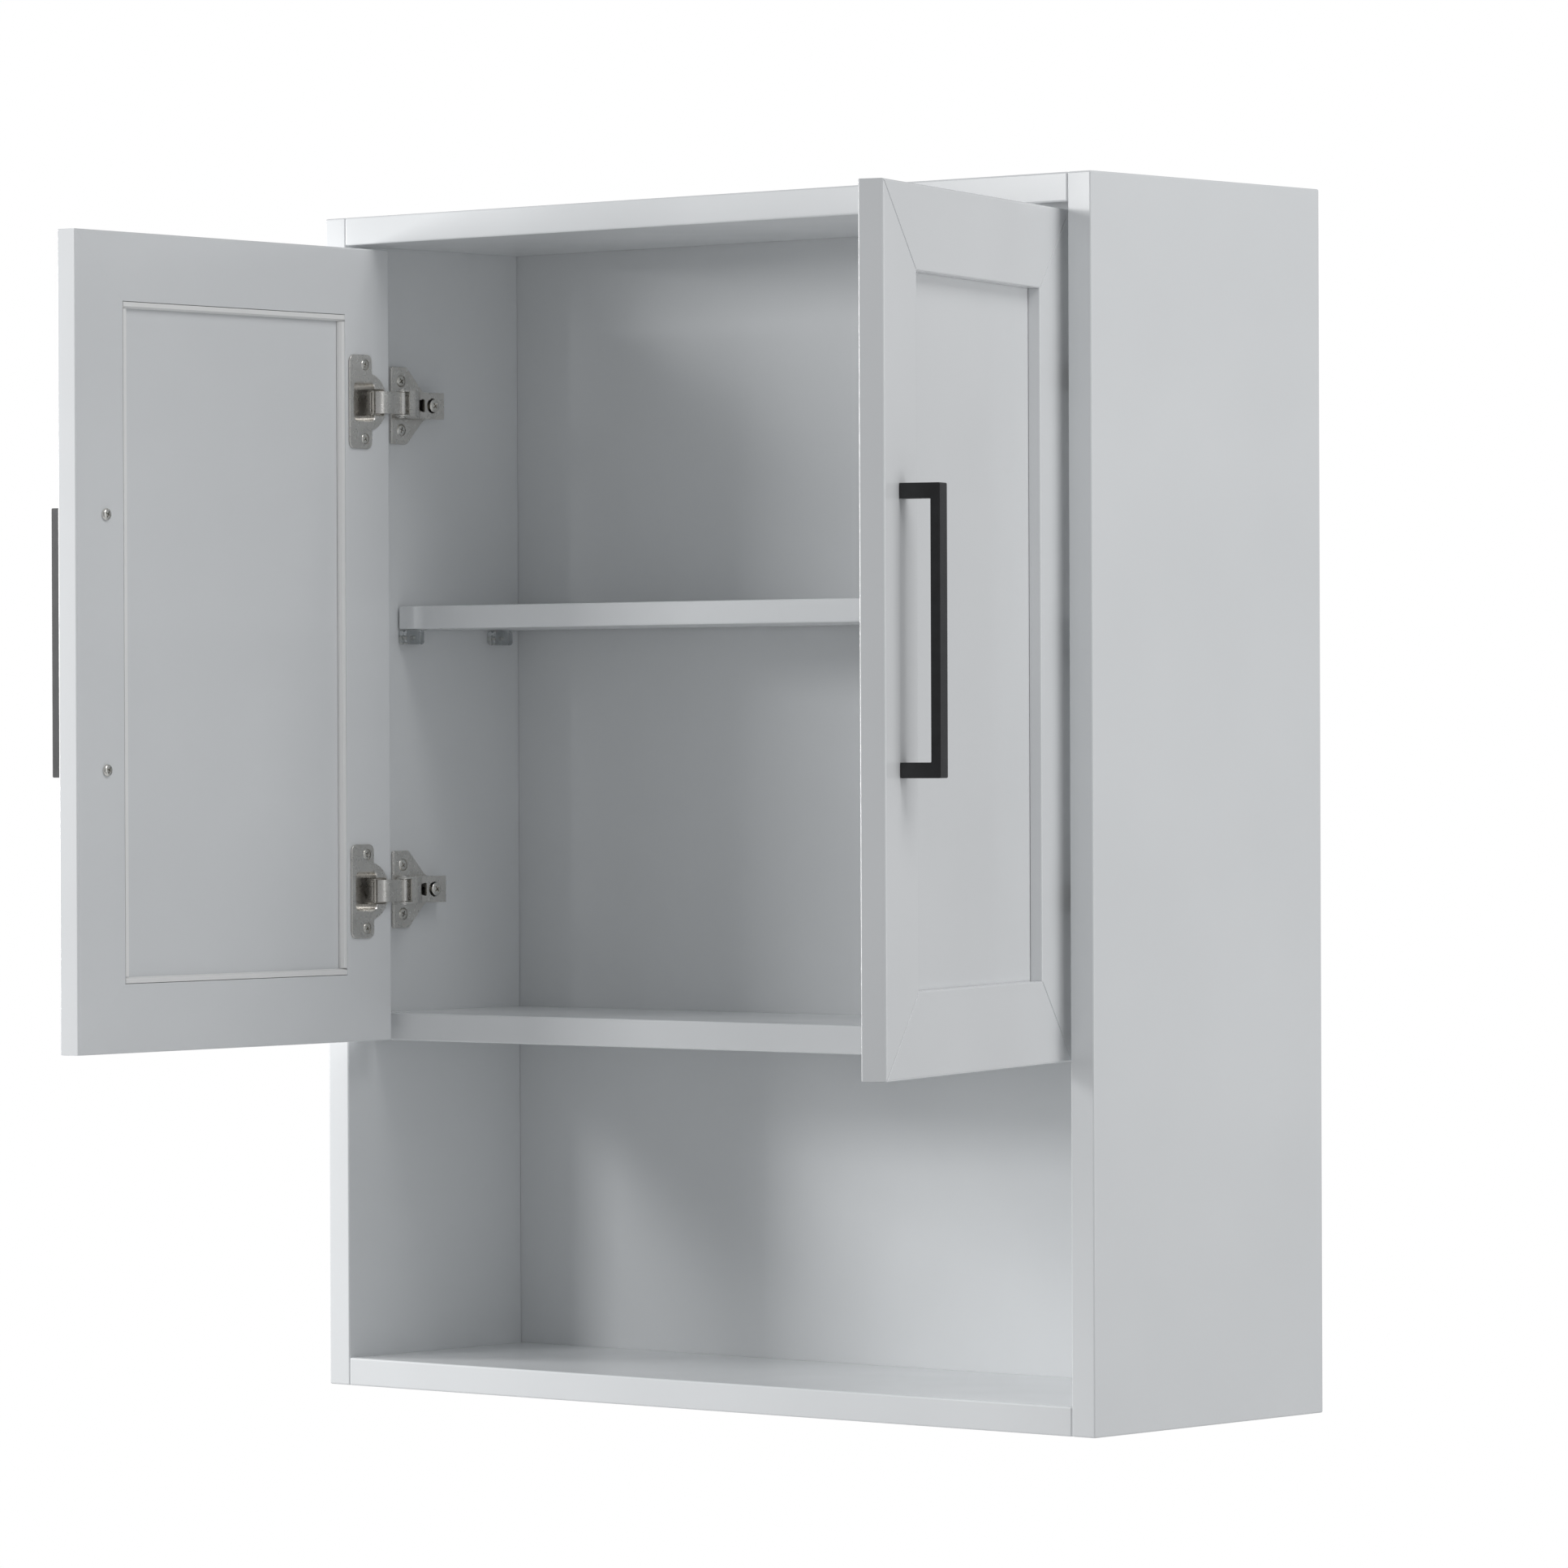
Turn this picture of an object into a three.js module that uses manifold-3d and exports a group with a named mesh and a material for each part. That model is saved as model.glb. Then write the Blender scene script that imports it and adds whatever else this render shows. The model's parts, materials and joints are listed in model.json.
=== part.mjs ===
// Hanging wall cabinet: a glued box of painted boards with two inset framed doors over an open
// niche. Each door turns on two concealed cup hinges and is shown standing open.
//
// Cabinet frame while modelling, in millimetres: x from the middle of the cabinet, y from the
// plane of its front edges towards the wall, z from its underside. The last lines move the
// origin to the middle of the upper hanging rail's rear face, which lies against the wall.
// side is -1 for the left half and +1 for the right half.

import * as THREE from 'three';
import { mergeVertices } from 'three/addons/utils/BufferGeometryUtils.js';
import Module from 'manifold-3d';

const wasm = await Module();
wasm.setup();

// ---------------------------------------------------------------- driving dimensions, mm

const WIDTH = 640;
const DEPTH = 228;
const HEIGHT = 762;
const BOARD = 18; // thickness of the case boards
const EASE = 1.2; // chamfer on the edges of the boards
const GAP = 0.3; // clearance between pieces that are fitted into each other

const NICHE_HEIGHT = 207; // clear height of the open niche
const MIDDLE_SETBACK = 24; // front edge of the middle panel, behind the closed doors
const BACK_FACE = 165; // front face of the back panel
const BACK_THICKNESS = 6;
const GROOVE = 5.5; // depth of the groove that holds the back panel

const SHELF_UNDERSIDE = 494;
const SHELF_THICKNESS = 15;
const SHELF_FRONT = 47.5;
const SHELF_SIDE_GAP = 1.5;
const SHELF_PIN = { radius: 2.4, length: 9 };
const PIN_BLOCK = { depth: 8, halfWidth: 8.5, height: 10, corner: 2.5 };
const PIN_PLACES = { front: 57, rear: 142.5 };
const PIN_HEIGHT = SHELF_UNDERSIDE - 5.5; // axis of the shelf pins

const RAIL_HEIGHT = 60;
const HANGER_SPACING = 406; // between the two keyhole plates, the usual stud spacing

const DOOR = {
  thickness: 16,
  sideGap: 2,
  meetingGap: 3,
  bottom: 225.5,
  height: 515,
  member: 50, // width of the stiles and rails
  recess: 7.5, // depth of the panel below the front of the frame
  rabbet: 6.5, // width of the ledge that the panel rests on
  panel: 4.2,
  bead: 4,
  mitreGap: 0.2,
};
DOOR.width = (WIDTH - 2 * BOARD - 2 * DOOR.sideGap - DOOR.meetingGap) / 2;

const AXIS = { fromSide: 13, fromFront: 4.8 }; // the line that a door turns about
const OPEN = { left: 87, right: 108 }; // degrees that each door stands open
const LINK_RATIO = 0.3; // turn of a hinge link for each degree of its door

const HANDLE = { length: 169, leg: 9, width: 11, bar: 6, projection: 25, fromFreeEdge: 27 };
const HANDLE_SCREW = { radius: 2, head: 3.8, headHeight: 2, reach: 8 };

const HINGE_HEIGHTS = { upper: 641, lower: 323 };
const CUP = { radius: 17.5, depth: 12, floor: 0.6, fromEdge: 21.5, rim: 18.5, rimHeight: 0.9, sides: 28 };
const FLANGE = { from: 18.5, to: 40.5, halfHeight: 30.5, corner: 4, thickness: 1.2 };
const POCKET = { from: 15.5, to: 36, halfHeight: 12, corner: 2.5 };
const NOTCH = { from: 6.5, to: 20, halfHeight: 8.6, corner: 1.5 };
const CUP_SCREW = { fromEdge: 25.5, spacing: 48, radius: 2.4 };

// Places on the hinge's arm and plate are (d, y). d is the distance from the side panel's inner face.
const ARM_PIVOT = { d: 26.5, y: 25.4 };
const ARM_PIN = { radius: 1.5, bore: 1.8, head: 2.4, headHeight: 0.8 };
const LINK = { halfWidth: 7.2, thickness: 1.6, eye: 2.6, roll: 1.8, pin: 1.2, pinReach: 8.1, steps: 12 };
const ARM = { halfWidth: 8.7, wall: 1.1, nose: 4.2, end: 80 };
const FIXING_SCREW = { y: 70, slotY: 68.4, slotRadius: 4.9, thread: 2.6 };
const WINDOW = { from: 55.2, to: 61.4, halfHeight: 4.7 };
const PLATE = { thickness: 2.3, blockFrom: 44, blockTo: 77, blockTop: 11.3, blockHalfHeight: 6.8 };
const PLATE_SCREW = { y: 50, spacing: 32, radius: 2.5 };

const INNER_X = WIDTH / 2 - BOARD;
const RAIL_CENTRE = HEIGHT - BOARD - RAIL_HEIGHT / 2;
const SIDES = { left: -1, right: 1 };

// ---------------------------------------------------------------- materials

const paint = (name) => new THREE.MeshStandardMaterial({ name, color: 0xe4e6e8, roughness: 0.28 });
const nickel = () => new THREE.MeshStandardMaterial({ color: 0xa6a19a, roughness: 0.3, metalness: 1 });
const steel = () => new THREE.MeshStandardMaterial({ color: 0xb4b6b8, roughness: 0.35, metalness: 1 });
const blackMetal = () => new THREE.MeshStandardMaterial({ color: 0x1b1b1b, roughness: 0.4, metalness: 0.4 });
const clearPlastic = () => new THREE.MeshStandardMaterial({ color: 0xc9cdd0, roughness: 0.15 });
const rawBoard = () => new THREE.MeshStandardMaterial({ color: 0xb08f66, roughness: 0.8 });

// ---------------------------------------------------------------- geometry helpers

const sorted = (a, b) => [Math.min(a, b), Math.max(a, b)];

function toSolid(geometry) {
  const bare = geometry.clone();
  bare.deleteAttribute('normal');
  bare.deleteAttribute('uv');
  const merged = mergeVertices(bare, 1e-4);
  return new wasm.Manifold(
    new wasm.Mesh({
      numProp: 3,
      vertProperties: new Float32Array(merged.attributes.position.array),
      triVerts: new Uint32Array(merged.index.array),
    }),
  );
}

function toGeometry(solid) {
  const mesh = solid.getMesh();
  const geometry = new THREE.BufferGeometry();
  geometry.setAttribute('position', new THREE.BufferAttribute(mesh.vertProperties, mesh.numProp));
  geometry.setIndex(new THREE.BufferAttribute(mesh.triVerts, 1));
  return geometry;
}

function join(...geometries) {
  return toGeometry(geometries.map(toSolid).reduce((whole, next) => whole.add(next)));
}

function cut(geometry, ...tools) {
  return toGeometry(tools.map(toSolid).reduce((rest, tool) => rest.subtract(tool), toSolid(geometry)));
}

// A closed outline extruded along one axis. The outline's points are (x, y) for axis z,
// (x, z) for axis y and (y, z) for axis x.
function prism(outline, axis, from, to, options = {}) {
  const isShape = outline instanceof THREE.Shape;
  const shape = isShape ? outline : new THREE.Shape(outline.map(([u, v]) => new THREE.Vector2(u, v)));
  const geometry = new THREE.ExtrudeGeometry(shape, {
    depth: to - from,
    bevelEnabled: false,
    curveSegments: 4,
    ...options,
  });
  const [X, Y, Z] = [new THREE.Vector3(1, 0, 0), new THREE.Vector3(0, 1, 0), new THREE.Vector3(0, 0, 1)];
  const place = new THREE.Matrix4();
  if (axis === 'z') place.setPosition(0, 0, from);
  if (axis === 'y') place.makeBasis(X, Z, Y.clone().negate()).setPosition(0, to, 0);
  if (axis === 'x') place.makeBasis(Y, Z, X).setPosition(from, 0, 0);
  return geometry.applyMatrix4(place);
}

function box(x0, x1, y0, y1, z0, z1) {
  const geometry = new THREE.BoxGeometry(Math.abs(x1 - x0), Math.abs(y1 - y0), Math.abs(z1 - z0));
  return geometry.translate((x0 + x1) / 2, (y0 + y1) / 2, (z0 + z1) / 2);
}

// A board with a small chamfer on all its edges.
function board(x0, x1, y0, y1, z0, z1, ease = EASE) {
  const shape = new THREE.Shape();
  shape.moveTo(x0 + ease, z0);
  shape.lineTo(x1 - ease, z0);
  shape.lineTo(x1, z0 + ease);
  shape.lineTo(x1, z1 - ease);
  shape.lineTo(x1 - ease, z1);
  shape.lineTo(x0 + ease, z1);
  shape.lineTo(x0, z1 - ease);
  shape.lineTo(x0, z0 + ease);
  shape.closePath();
  return prism(shape, 'y', y0, y1, {
    depth: y1 - y0 - 2 * ease,
    bevelEnabled: true,
    bevelThickness: ease,
    bevelSize: ease,
    bevelOffset: -ease,
    bevelSegments: 1,
  }).translate(0, -ease, 0);
}

function roundedRectangle(u0, u1, v0, v1, radius) {
  const shape = new THREE.Shape();
  shape.absarc(u1 - radius, v0 + radius, radius, -Math.PI / 2, 0);
  shape.absarc(u1 - radius, v1 - radius, radius, 0, Math.PI / 2);
  shape.absarc(u0 + radius, v1 - radius, radius, Math.PI / 2, Math.PI);
  shape.absarc(u0 + radius, v0 + radius, radius, Math.PI, 1.5 * Math.PI);
  shape.closePath();
  return shape;
}

function rod(axis, radius, from, to, a, b, segments = 16) {
  const geometry = new THREE.CylinderGeometry(radius, radius, to - from, segments);
  const middle = (from + to) / 2;
  if (axis === 'x') return geometry.rotateZ(Math.PI / 2).translate(middle, a, b);
  if (axis === 'y') return geometry.translate(a, middle, b);
  return geometry.rotateX(Math.PI / 2).translate(a, b, middle);
}

function part(parent, name, geometry, material) {
  const mesh = new THREE.Mesh(geometry, material);
  mesh.name = name;
  parent.add(mesh);
  return mesh;
}

// ---------------------------------------------------------------- case

const cabinet = new THREE.Group();

function addSidePanel(sideName) {
  const side = SIDES[sideName];
  const inner = side * INNER_X;
  const faces = sorted(inner, side * WIDTH / 2);
  const panel = board(...faces, 0, DEPTH, 0, HEIGHT);
  const grooveBottom = inner + side * GROOVE;
  const groove = box(
    inner - side, grooveBottom,
    BACK_FACE - GAP, BACK_FACE + BACK_THICKNESS + GAP,
    BOARD - GROOVE, HEIGHT - BOARD + GROOVE,
  );
  const holeEnds = sorted(inner - side, inner + side * (SHELF_PIN.length + GAP));
  const pinHoles = Object.values(PIN_PLACES).map((y) => rod(
    'x', SHELF_PIN.radius + GAP, ...holeEnds, y, PIN_HEIGHT,
  ));
  part(cabinet, `side_panel_${sideName}`, cut(panel, groove, ...pinHoles), paint('case paint'));
}

function addHorizontalPanels() {
  const groove = (z0, z1) => box(
    -INNER_X - 1, INNER_X + 1,
    BACK_FACE - GAP, BACK_FACE + BACK_THICKNESS + GAP,
    z0, z1,
  );
  const top = board(-INNER_X, INNER_X, 0, DEPTH, HEIGHT - BOARD, HEIGHT);
  const topGroove = groove(HEIGHT - BOARD - 1, HEIGHT - BOARD + GROOVE);
  part(cabinet, 'top_panel', cut(top, topGroove), paint('case paint'));
  const bottom = board(-INNER_X, INNER_X, 0, DEPTH, 0, BOARD);
  part(cabinet, 'bottom_panel', cut(bottom, groove(BOARD - GROOVE, BOARD + 1)), paint('case paint'));
  const middleBottom = BOARD + NICHE_HEIGHT;
  const middle = board(-INNER_X, INNER_X, MIDDLE_SETBACK, BACK_FACE, middleBottom, middleBottom + BOARD);
  part(cabinet, 'middle_panel', middle, paint('case paint'));
}

function addBackPanel() {
  const reach = GROOVE - 0.5;
  const back = box(
    -INNER_X - reach, INNER_X + reach,
    BACK_FACE, BACK_FACE + BACK_THICKNESS,
    BOARD - reach, HEIGHT - BOARD + reach,
  );
  part(cabinet, 'back_panel', back, paint('back panel paint'));
}

const HANGER = { width: 20, height: 46, thickness: 1.6, corner: 3 };
const KEYHOLE = { headRadius: 5, slotRadius: 2.6, slotRise: 14 };
const SCREW_HEAD_SPACE = { depth: 10, side: 1 }; // room in the rail behind a keyhole

// A steel plate with a keyhole, let into the rear face of the upper hanging rail.
function addHanger(sideName, x) {
  const { width, height, thickness, corner } = HANGER;
  const { headRadius, slotRadius, slotRise } = KEYHOLE;
  const [low, high] = [RAIL_CENTRE - height / 2, RAIL_CENTRE + height / 2];
  const outline = roundedRectangle(x - width / 2, x + width / 2, low, high, corner);
  const plate = prism(outline, 'y', DEPTH - thickness, DEPTH);
  const through = [DEPTH - thickness - 1, DEPTH + 1];
  const [headHeight, slotTop] = [RAIL_CENTRE - slotRise / 2, RAIL_CENTRE + slotRise / 2];
  const keyhole = join(
    rod('y', headRadius, ...through, x, headHeight),
    rod('y', slotRadius, ...through, x, slotTop),
    box(x - slotRadius, x + slotRadius, ...through, headHeight, slotTop),
  );
  part(cabinet, `hanger_plate_${sideName}`, cut(plate, keyhole), steel());
}

function addHangingRails() {
  const railBack = (z) => box(-INNER_X, INNER_X, DEPTH - BOARD, DEPTH, z, z + RAIL_HEIGHT);
  const upper = railBack(HEIGHT - BOARD - RAIL_HEIGHT);
  const pockets = Object.values(SIDES).flatMap((side) => {
    const x = side * HANGER_SPACING / 2;
    const { width, height, thickness } = HANGER;
    const { headRadius, slotRise } = KEYHOLE;
    const space = headRadius + SCREW_HEAD_SPACE.side;
    return [
      box(
        x - width / 2 - GAP, x + width / 2 + GAP,
        DEPTH - thickness - GAP, DEPTH + 1,
        RAIL_CENTRE - height / 2 - GAP, RAIL_CENTRE + height / 2 + GAP,
      ),
      box(
        x - space, x + space,
        DEPTH - SCREW_HEAD_SPACE.depth, DEPTH + 1,
        RAIL_CENTRE - slotRise, RAIL_CENTRE + slotRise,
      ),
    ];
  });
  part(cabinet, 'hanging_rail_upper', cut(upper, ...pockets), rawBoard());
  part(cabinet, 'hanging_rail_lower', railBack(BOARD), rawBoard());
  for (const [sideName, side] of Object.entries(SIDES)) {
    addHanger(sideName, side * HANGER_SPACING / 2);
  }
}

function addShelf() {
  const shelf = board(
    -INNER_X + SHELF_SIDE_GAP, INNER_X - SHELF_SIDE_GAP,
    SHELF_FRONT, BACK_FACE - SHELF_SIDE_GAP,
    SHELF_UNDERSIDE, SHELF_UNDERSIDE + SHELF_THICKNESS,
  );
  part(cabinet, 'inner_shelf', shelf, paint('case paint'));
}

// The x range between two distances from a side panel's inner face.
function fromSide(side, d0, d1) {
  return sorted(side * (INNER_X - d0), side * (INNER_X - d1));
}

// A clear plug with a pin that enters the side panel and a block that the shelf lies on.
function addShelfPin(sideName, placeName) {
  const side = SIDES[sideName];
  const y = PIN_PLACES[placeName];
  const { radius, length } = SHELF_PIN;
  const { depth, halfWidth, height, corner } = PIN_BLOCK;
  const [low, high] = [SHELF_UNDERSIDE - height, SHELF_UNDERSIDE - GAP];
  const outline = roundedRectangle(y - halfWidth, y + halfWidth, low, high, corner);
  const plug = join(
    prism(outline, 'x', ...fromSide(side, GAP, depth)),
    rod('x', radius, ...fromSide(side, -length, depth / 2), y, PIN_HEIGHT),
  );
  part(cabinet, `shelf_pin_${sideName}_${placeName}`, plug, clearPlastic());
}

// ---------------------------------------------------------------- doors

// A door's pieces are placed by e, the distance from its hinge edge, y from its front face and
// z from its lower edge. Its group stands on the axis and is turned to the open angle.
const AXIS_FROM_EDGE = AXIS.fromSide - DOOR.sideGap;

function doorGroup(sideName) {
  const side = SIDES[sideName];
  const group = new THREE.Group();
  group.position.set(side * (INNER_X - AXIS.fromSide), AXIS.fromFront, DOOR.bottom);
  group.rotation.z = side * THREE.MathUtils.degToRad(OPEN[sideName]);
  cabinet.add(group);
  return group;
}

const localX = (side, e) => side * (AXIS_FROM_EDGE - e);
const localY = (y) => y - AXIS.fromFront;

function doorPrism(side, outline, y0, y1) {
  return prism(outline.map(([e, z]) => [localX(side, e), z]), 'y', localY(y0), localY(y1));
}

// A frame member: its full width in front, and behind it the width that leaves the rabbet.
function frameMember(side, outlineOfWidth) {
  const front = doorPrism(side, outlineOfWidth(DOOR.member), 0, DOOR.recess);
  const back = doorPrism(side, outlineOfWidth(DOOR.member - DOOR.rabbet), 0, DOOR.thickness);
  return join(front, back);
}

function addDoorFrame(group, sideName) {
  const side = SIDES[sideName];
  const { width, height, mitreGap } = DOOR;
  const stile = (fromHinge) => (member) => {
    const e = (distance) => (fromHinge ? distance : width - distance);
    return [
      [e(0), mitreGap],
      [e(member), member + mitreGap],
      [e(member), height - member - mitreGap],
      [e(0), height - mitreGap],
    ];
  };
  const rail = (fromBottom) => (member) => {
    const z = (distance) => (fromBottom ? distance : height - distance);
    return [
      [mitreGap, z(0)],
      [width - mitreGap, z(0)],
      [width - member - mitreGap, z(member)],
      [member + mitreGap, z(member)],
    ];
  };
  const boreFloor = DOOR.thickness - CUP.depth - GAP;
  const bores = Object.values(HINGE_HEIGHTS).map((z) => rod(
    'y', CUP.radius + GAP, localY(boreFloor), localY(DOOR.thickness + 1),
    localX(side, CUP.fromEdge), z - DOOR.bottom, CUP.sides,
  ));
  const screwHoles = handleScrewHeights().map((z) => rod(
    'y', HANDLE_SCREW.radius + GAP, localY(-1), localY(DOOR.thickness + 1),
    localX(side, width - HANDLE.fromFreeEdge), z,
  ));
  const name = `door_${sideName}`;
  part(group, `${name}_hinge_stile`, cut(frameMember(side, stile(true)), ...bores), paint('door paint'));
  part(group, `${name}_free_stile`, cut(frameMember(side, stile(false)), ...screwHoles), paint('door paint'));
  part(group, `${name}_bottom_rail`, frameMember(side, rail(true)), paint('door paint'));
  part(group, `${name}_top_rail`, frameMember(side, rail(false)), paint('door paint'));
}

// The panel lies in the rabbet, and four beads hold it there.
function addDoorPanel(group, sideName) {
  const side = SIDES[sideName];
  const ledge = DOOR.member - DOOR.rabbet + GAP;
  const [e0, e1] = [ledge, DOOR.width - ledge];
  const [z0, z1] = [ledge, DOOR.height - ledge];
  const name = `door_${sideName}`;
  const strip = (a0, a1, b0, b1, y0, y1) => box(
    localX(side, a0), localX(side, a1), localY(y0), localY(y1), b0, b1,
  );
  const panelFront = DOOR.recess + GAP;
  const beadFront = panelFront + DOOR.panel + GAP;
  const panel = strip(e0, e1, z0, z1, panelFront, panelFront + DOOR.panel);
  part(group, `${name}_panel`, panel, paint('panel paint'));
  const beads = {
    bead_top: [e0, e1, z1 - DOOR.bead, z1],
    bead_bottom: [e0, e1, z0, z0 + DOOR.bead],
    bead_hinge_side: [e0, e0 + DOOR.bead, z0 + DOOR.bead + GAP, z1 - DOOR.bead - GAP],
    bead_free_side: [e1 - DOOR.bead, e1, z0 + DOOR.bead + GAP, z1 - DOOR.bead - GAP],
  };
  for (const [beadName, place] of Object.entries(beads)) {
    part(group, `${name}_${beadName}`, strip(...place, beadFront, DOOR.thickness), paint('bead paint'));
  }
}

function handleScrewHeights() {
  const halfSpacing = (HANDLE.length - HANDLE.leg) / 2;
  return [DOOR.height / 2 + halfSpacing, DOOR.height / 2 - halfSpacing];
}

function addHandle(group, sideName) {
  const side = SIDES[sideName];
  const middle = DOOR.height / 2;
  const half = HANDLE.length / 2;
  const base = localY(-GAP);
  const outer = base - HANDLE.projection;
  const inner = outer + HANDLE.bar;
  const outline = [
    [base, middle - half],
    [outer, middle - half],
    [outer, middle + half],
    [base, middle + half],
    [base, middle + half - HANDLE.leg],
    [inner, middle + half - HANDLE.leg],
    [inner, middle - half + HANDLE.leg],
    [base, middle - half + HANDLE.leg],
  ];
  const centre = localX(side, DOOR.width - HANDLE.fromFreeEdge);
  const bar = prism(outline, 'x', centre - HANDLE.width / 2, centre + HANDLE.width / 2);
  const [upperScrew, lowerScrew] = handleScrewHeights();
  const threads = [upperScrew, lowerScrew].map((z) => rod(
    'y', HANDLE_SCREW.radius + GAP, base - HANDLE_SCREW.reach - 2, base + 1, centre, z,
  ));
  part(group, `handle_${sideName}`, cut(bar, ...threads), blackMetal());
  addHandleScrew(group, `handle_screw_${sideName}_upper`, centre, upperScrew);
  addHandleScrew(group, `handle_screw_${sideName}_lower`, centre, lowerScrew);
}

// A screw with a domed head behind the door and its end in the foot of the handle.
function addHandleScrew(group, name, x, z) {
  const { radius, head, headHeight, reach } = HANDLE_SCREW;
  const seat = localY(DOOR.thickness + GAP);
  const profile = [
    [0, localY(-reach)],
    [radius, localY(-reach)],
    [radius, seat],
    [head, seat],
    [head, seat + 0.4 * headHeight],
    [0.7 * head, seat + 0.85 * headHeight],
    [0, seat + headHeight],
  ].map(([r, y]) => new THREE.Vector2(r, y));
  const screw = new THREE.LatheGeometry(profile, 12).translate(x, 0, z);
  part(group, name, cut(screw), steel());
}

// ---------------------------------------------------------------- hinges

// The cup is let into the hinge stile. Its pocket has a narrow notch towards the hinge edge,
// where the link comes out when the door stands open.
function addCup(group, sideName, levelName) {
  const side = SIDES[sideName];
  const z = HINGE_HEIGHTS[levelName] - DOOR.bottom;
  const centre = localX(side, CUP.fromEdge);
  const back = DOOR.thickness;
  const seat = back + GAP;
  const face = seat + FLANGE.thickness;
  const floor = back - CUP.depth;
  const outlineOf = ({ from, to, halfHeight, corner }) => roundedRectangle(
    ...sorted(localX(side, from), localX(side, to)), z - halfHeight, z + halfHeight, corner,
  );
  const screwHoles = [-1, 1].map((sign) => rod(
    'y', CUP_SCREW.radius, localY(seat - 1), localY(face + 1),
    localX(side, CUP_SCREW.fromEdge), z + sign * CUP_SCREW.spacing / 2,
  ));
  const body = join(
    rod('y', CUP.radius, localY(floor), localY(seat + GAP), centre, z, CUP.sides),
    rod('y', CUP.rim, localY(seat), localY(seat + CUP.rimHeight), centre, z, CUP.sides),
    prism(outlineOf(FLANGE), 'y', localY(seat), localY(face)),
  );
  const cup = cut(
    body,
    prism(outlineOf(POCKET), 'y', localY(floor + CUP.floor), localY(face + 1)),
    prism(outlineOf(NOTCH), 'y', localY(floor + CUP.floor), localY(face + 1)),
    ...screwHoles,
  );
  part(group, `hinge_cup_${sideName}_${levelName}`, cup, nickel());
}

// Centre line of the link with the door closed, as steps from the pivot in the arm: from the
// pivot down into the cup, and round the cup's rim to the cup's own pin.
const LINK_LINE = [
  [0, 0],
  [-2.8, -8],
  [-4.6, -13.8],
  [-6.8, -17.7],
  [-10.8, -19.7],
  [-13.2, -18.9],
  [-15, -16],
];

function linkStrip(side) {
  const curve = new THREE.SplineCurve(LINK_LINE.map(([d, y]) => new THREE.Vector2(-side * d, y)));
  const { steps, thickness } = LINK;
  const edge = (offset) => Array.from({ length: steps + 1 }, (_, i) => {
    const point = curve.getPoint(i / steps);
    const along = curve.getTangent(i / steps);
    return [point.x - along.y * offset, point.y + along.x * offset];
  });
  return [...edge(thickness / 2), ...edge(-thickness / 2).reverse()];
}

function pivotX(side) {
  return side * (INNER_X - ARM_PIVOT.d);
}

// A bent strip with an eye for the arm's pin at one end and the cup's pin at the other.
function addLink(sideName, levelName) {
  const side = SIDES[sideName];
  const group = new THREE.Group();
  group.position.set(pivotX(side), ARM_PIVOT.y, HINGE_HEIGHTS[levelName]);
  group.rotation.z = -side * THREE.MathUtils.degToRad(LINK_RATIO * OPEN[sideName]);
  cabinet.add(group);
  const [pinD, pinY] = LINK_LINE.at(-1);
  const { halfWidth, eye, roll, pin, pinReach } = LINK;
  const link = join(
    prism(linkStrip(side), 'z', -halfWidth, halfWidth),
    rod('z', eye, -halfWidth, halfWidth, 0, 0),
    rod('z', roll, -halfWidth, halfWidth, -side * pinD, pinY),
    rod('z', pin, -pinReach, pinReach, -side * pinD, pinY),
  );
  const bore = rod('z', ARM_PIN.bore, -halfWidth - 1, halfWidth + 1, 0, 0);
  part(group, `hinge_link_${sideName}_${levelName}`, cut(link, bore), nickel());
}

// The headed pin that the link turns on.
function addPin(sideName, levelName) {
  const { radius, head, headHeight } = ARM_PIN;
  const shoulder = ARM.halfWidth + GAP;
  const end = shoulder + headHeight;
  const profile = [
    [0, -end],
    [head, -end],
    [head, -shoulder],
    [radius, -shoulder],
    [radius, shoulder],
    [head, shoulder],
    [head, end],
    [0, end],
  ].map(([r, y]) => new THREE.Vector2(r, y));
  const pin = new THREE.LatheGeometry(profile, 12).rotateX(Math.PI / 2);
  pin.translate(pivotX(SIDES[sideName]), ARM_PIVOT.y, HINGE_HEIGHTS[levelName]);
  part(cabinet, `hinge_pin_${sideName}_${levelName}`, cut(pin), steel());
}

// The cranked arm is a channel, open towards the side panel.
const ARM_OUTLINE = [
  [22.3, 25.4],
  [22.6, 30],
  [9, 48],
  [7, 54],
  [7, ARM.end],
  [13, ARM.end],
  [13, 56.5],
  [15, 53.5],
  [28, 40],
  [30.7, 34],
  [30.7, 25.4],
];
const ARM_HOLLOW = [
  [-5, 10],
  [29.5, 10],
  [29.5, 33.7],
  [27, 39.4],
  [14, 52.9],
  [11.8, 56.2],
  [11.8, 90],
  [-5, 90],
];

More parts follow.
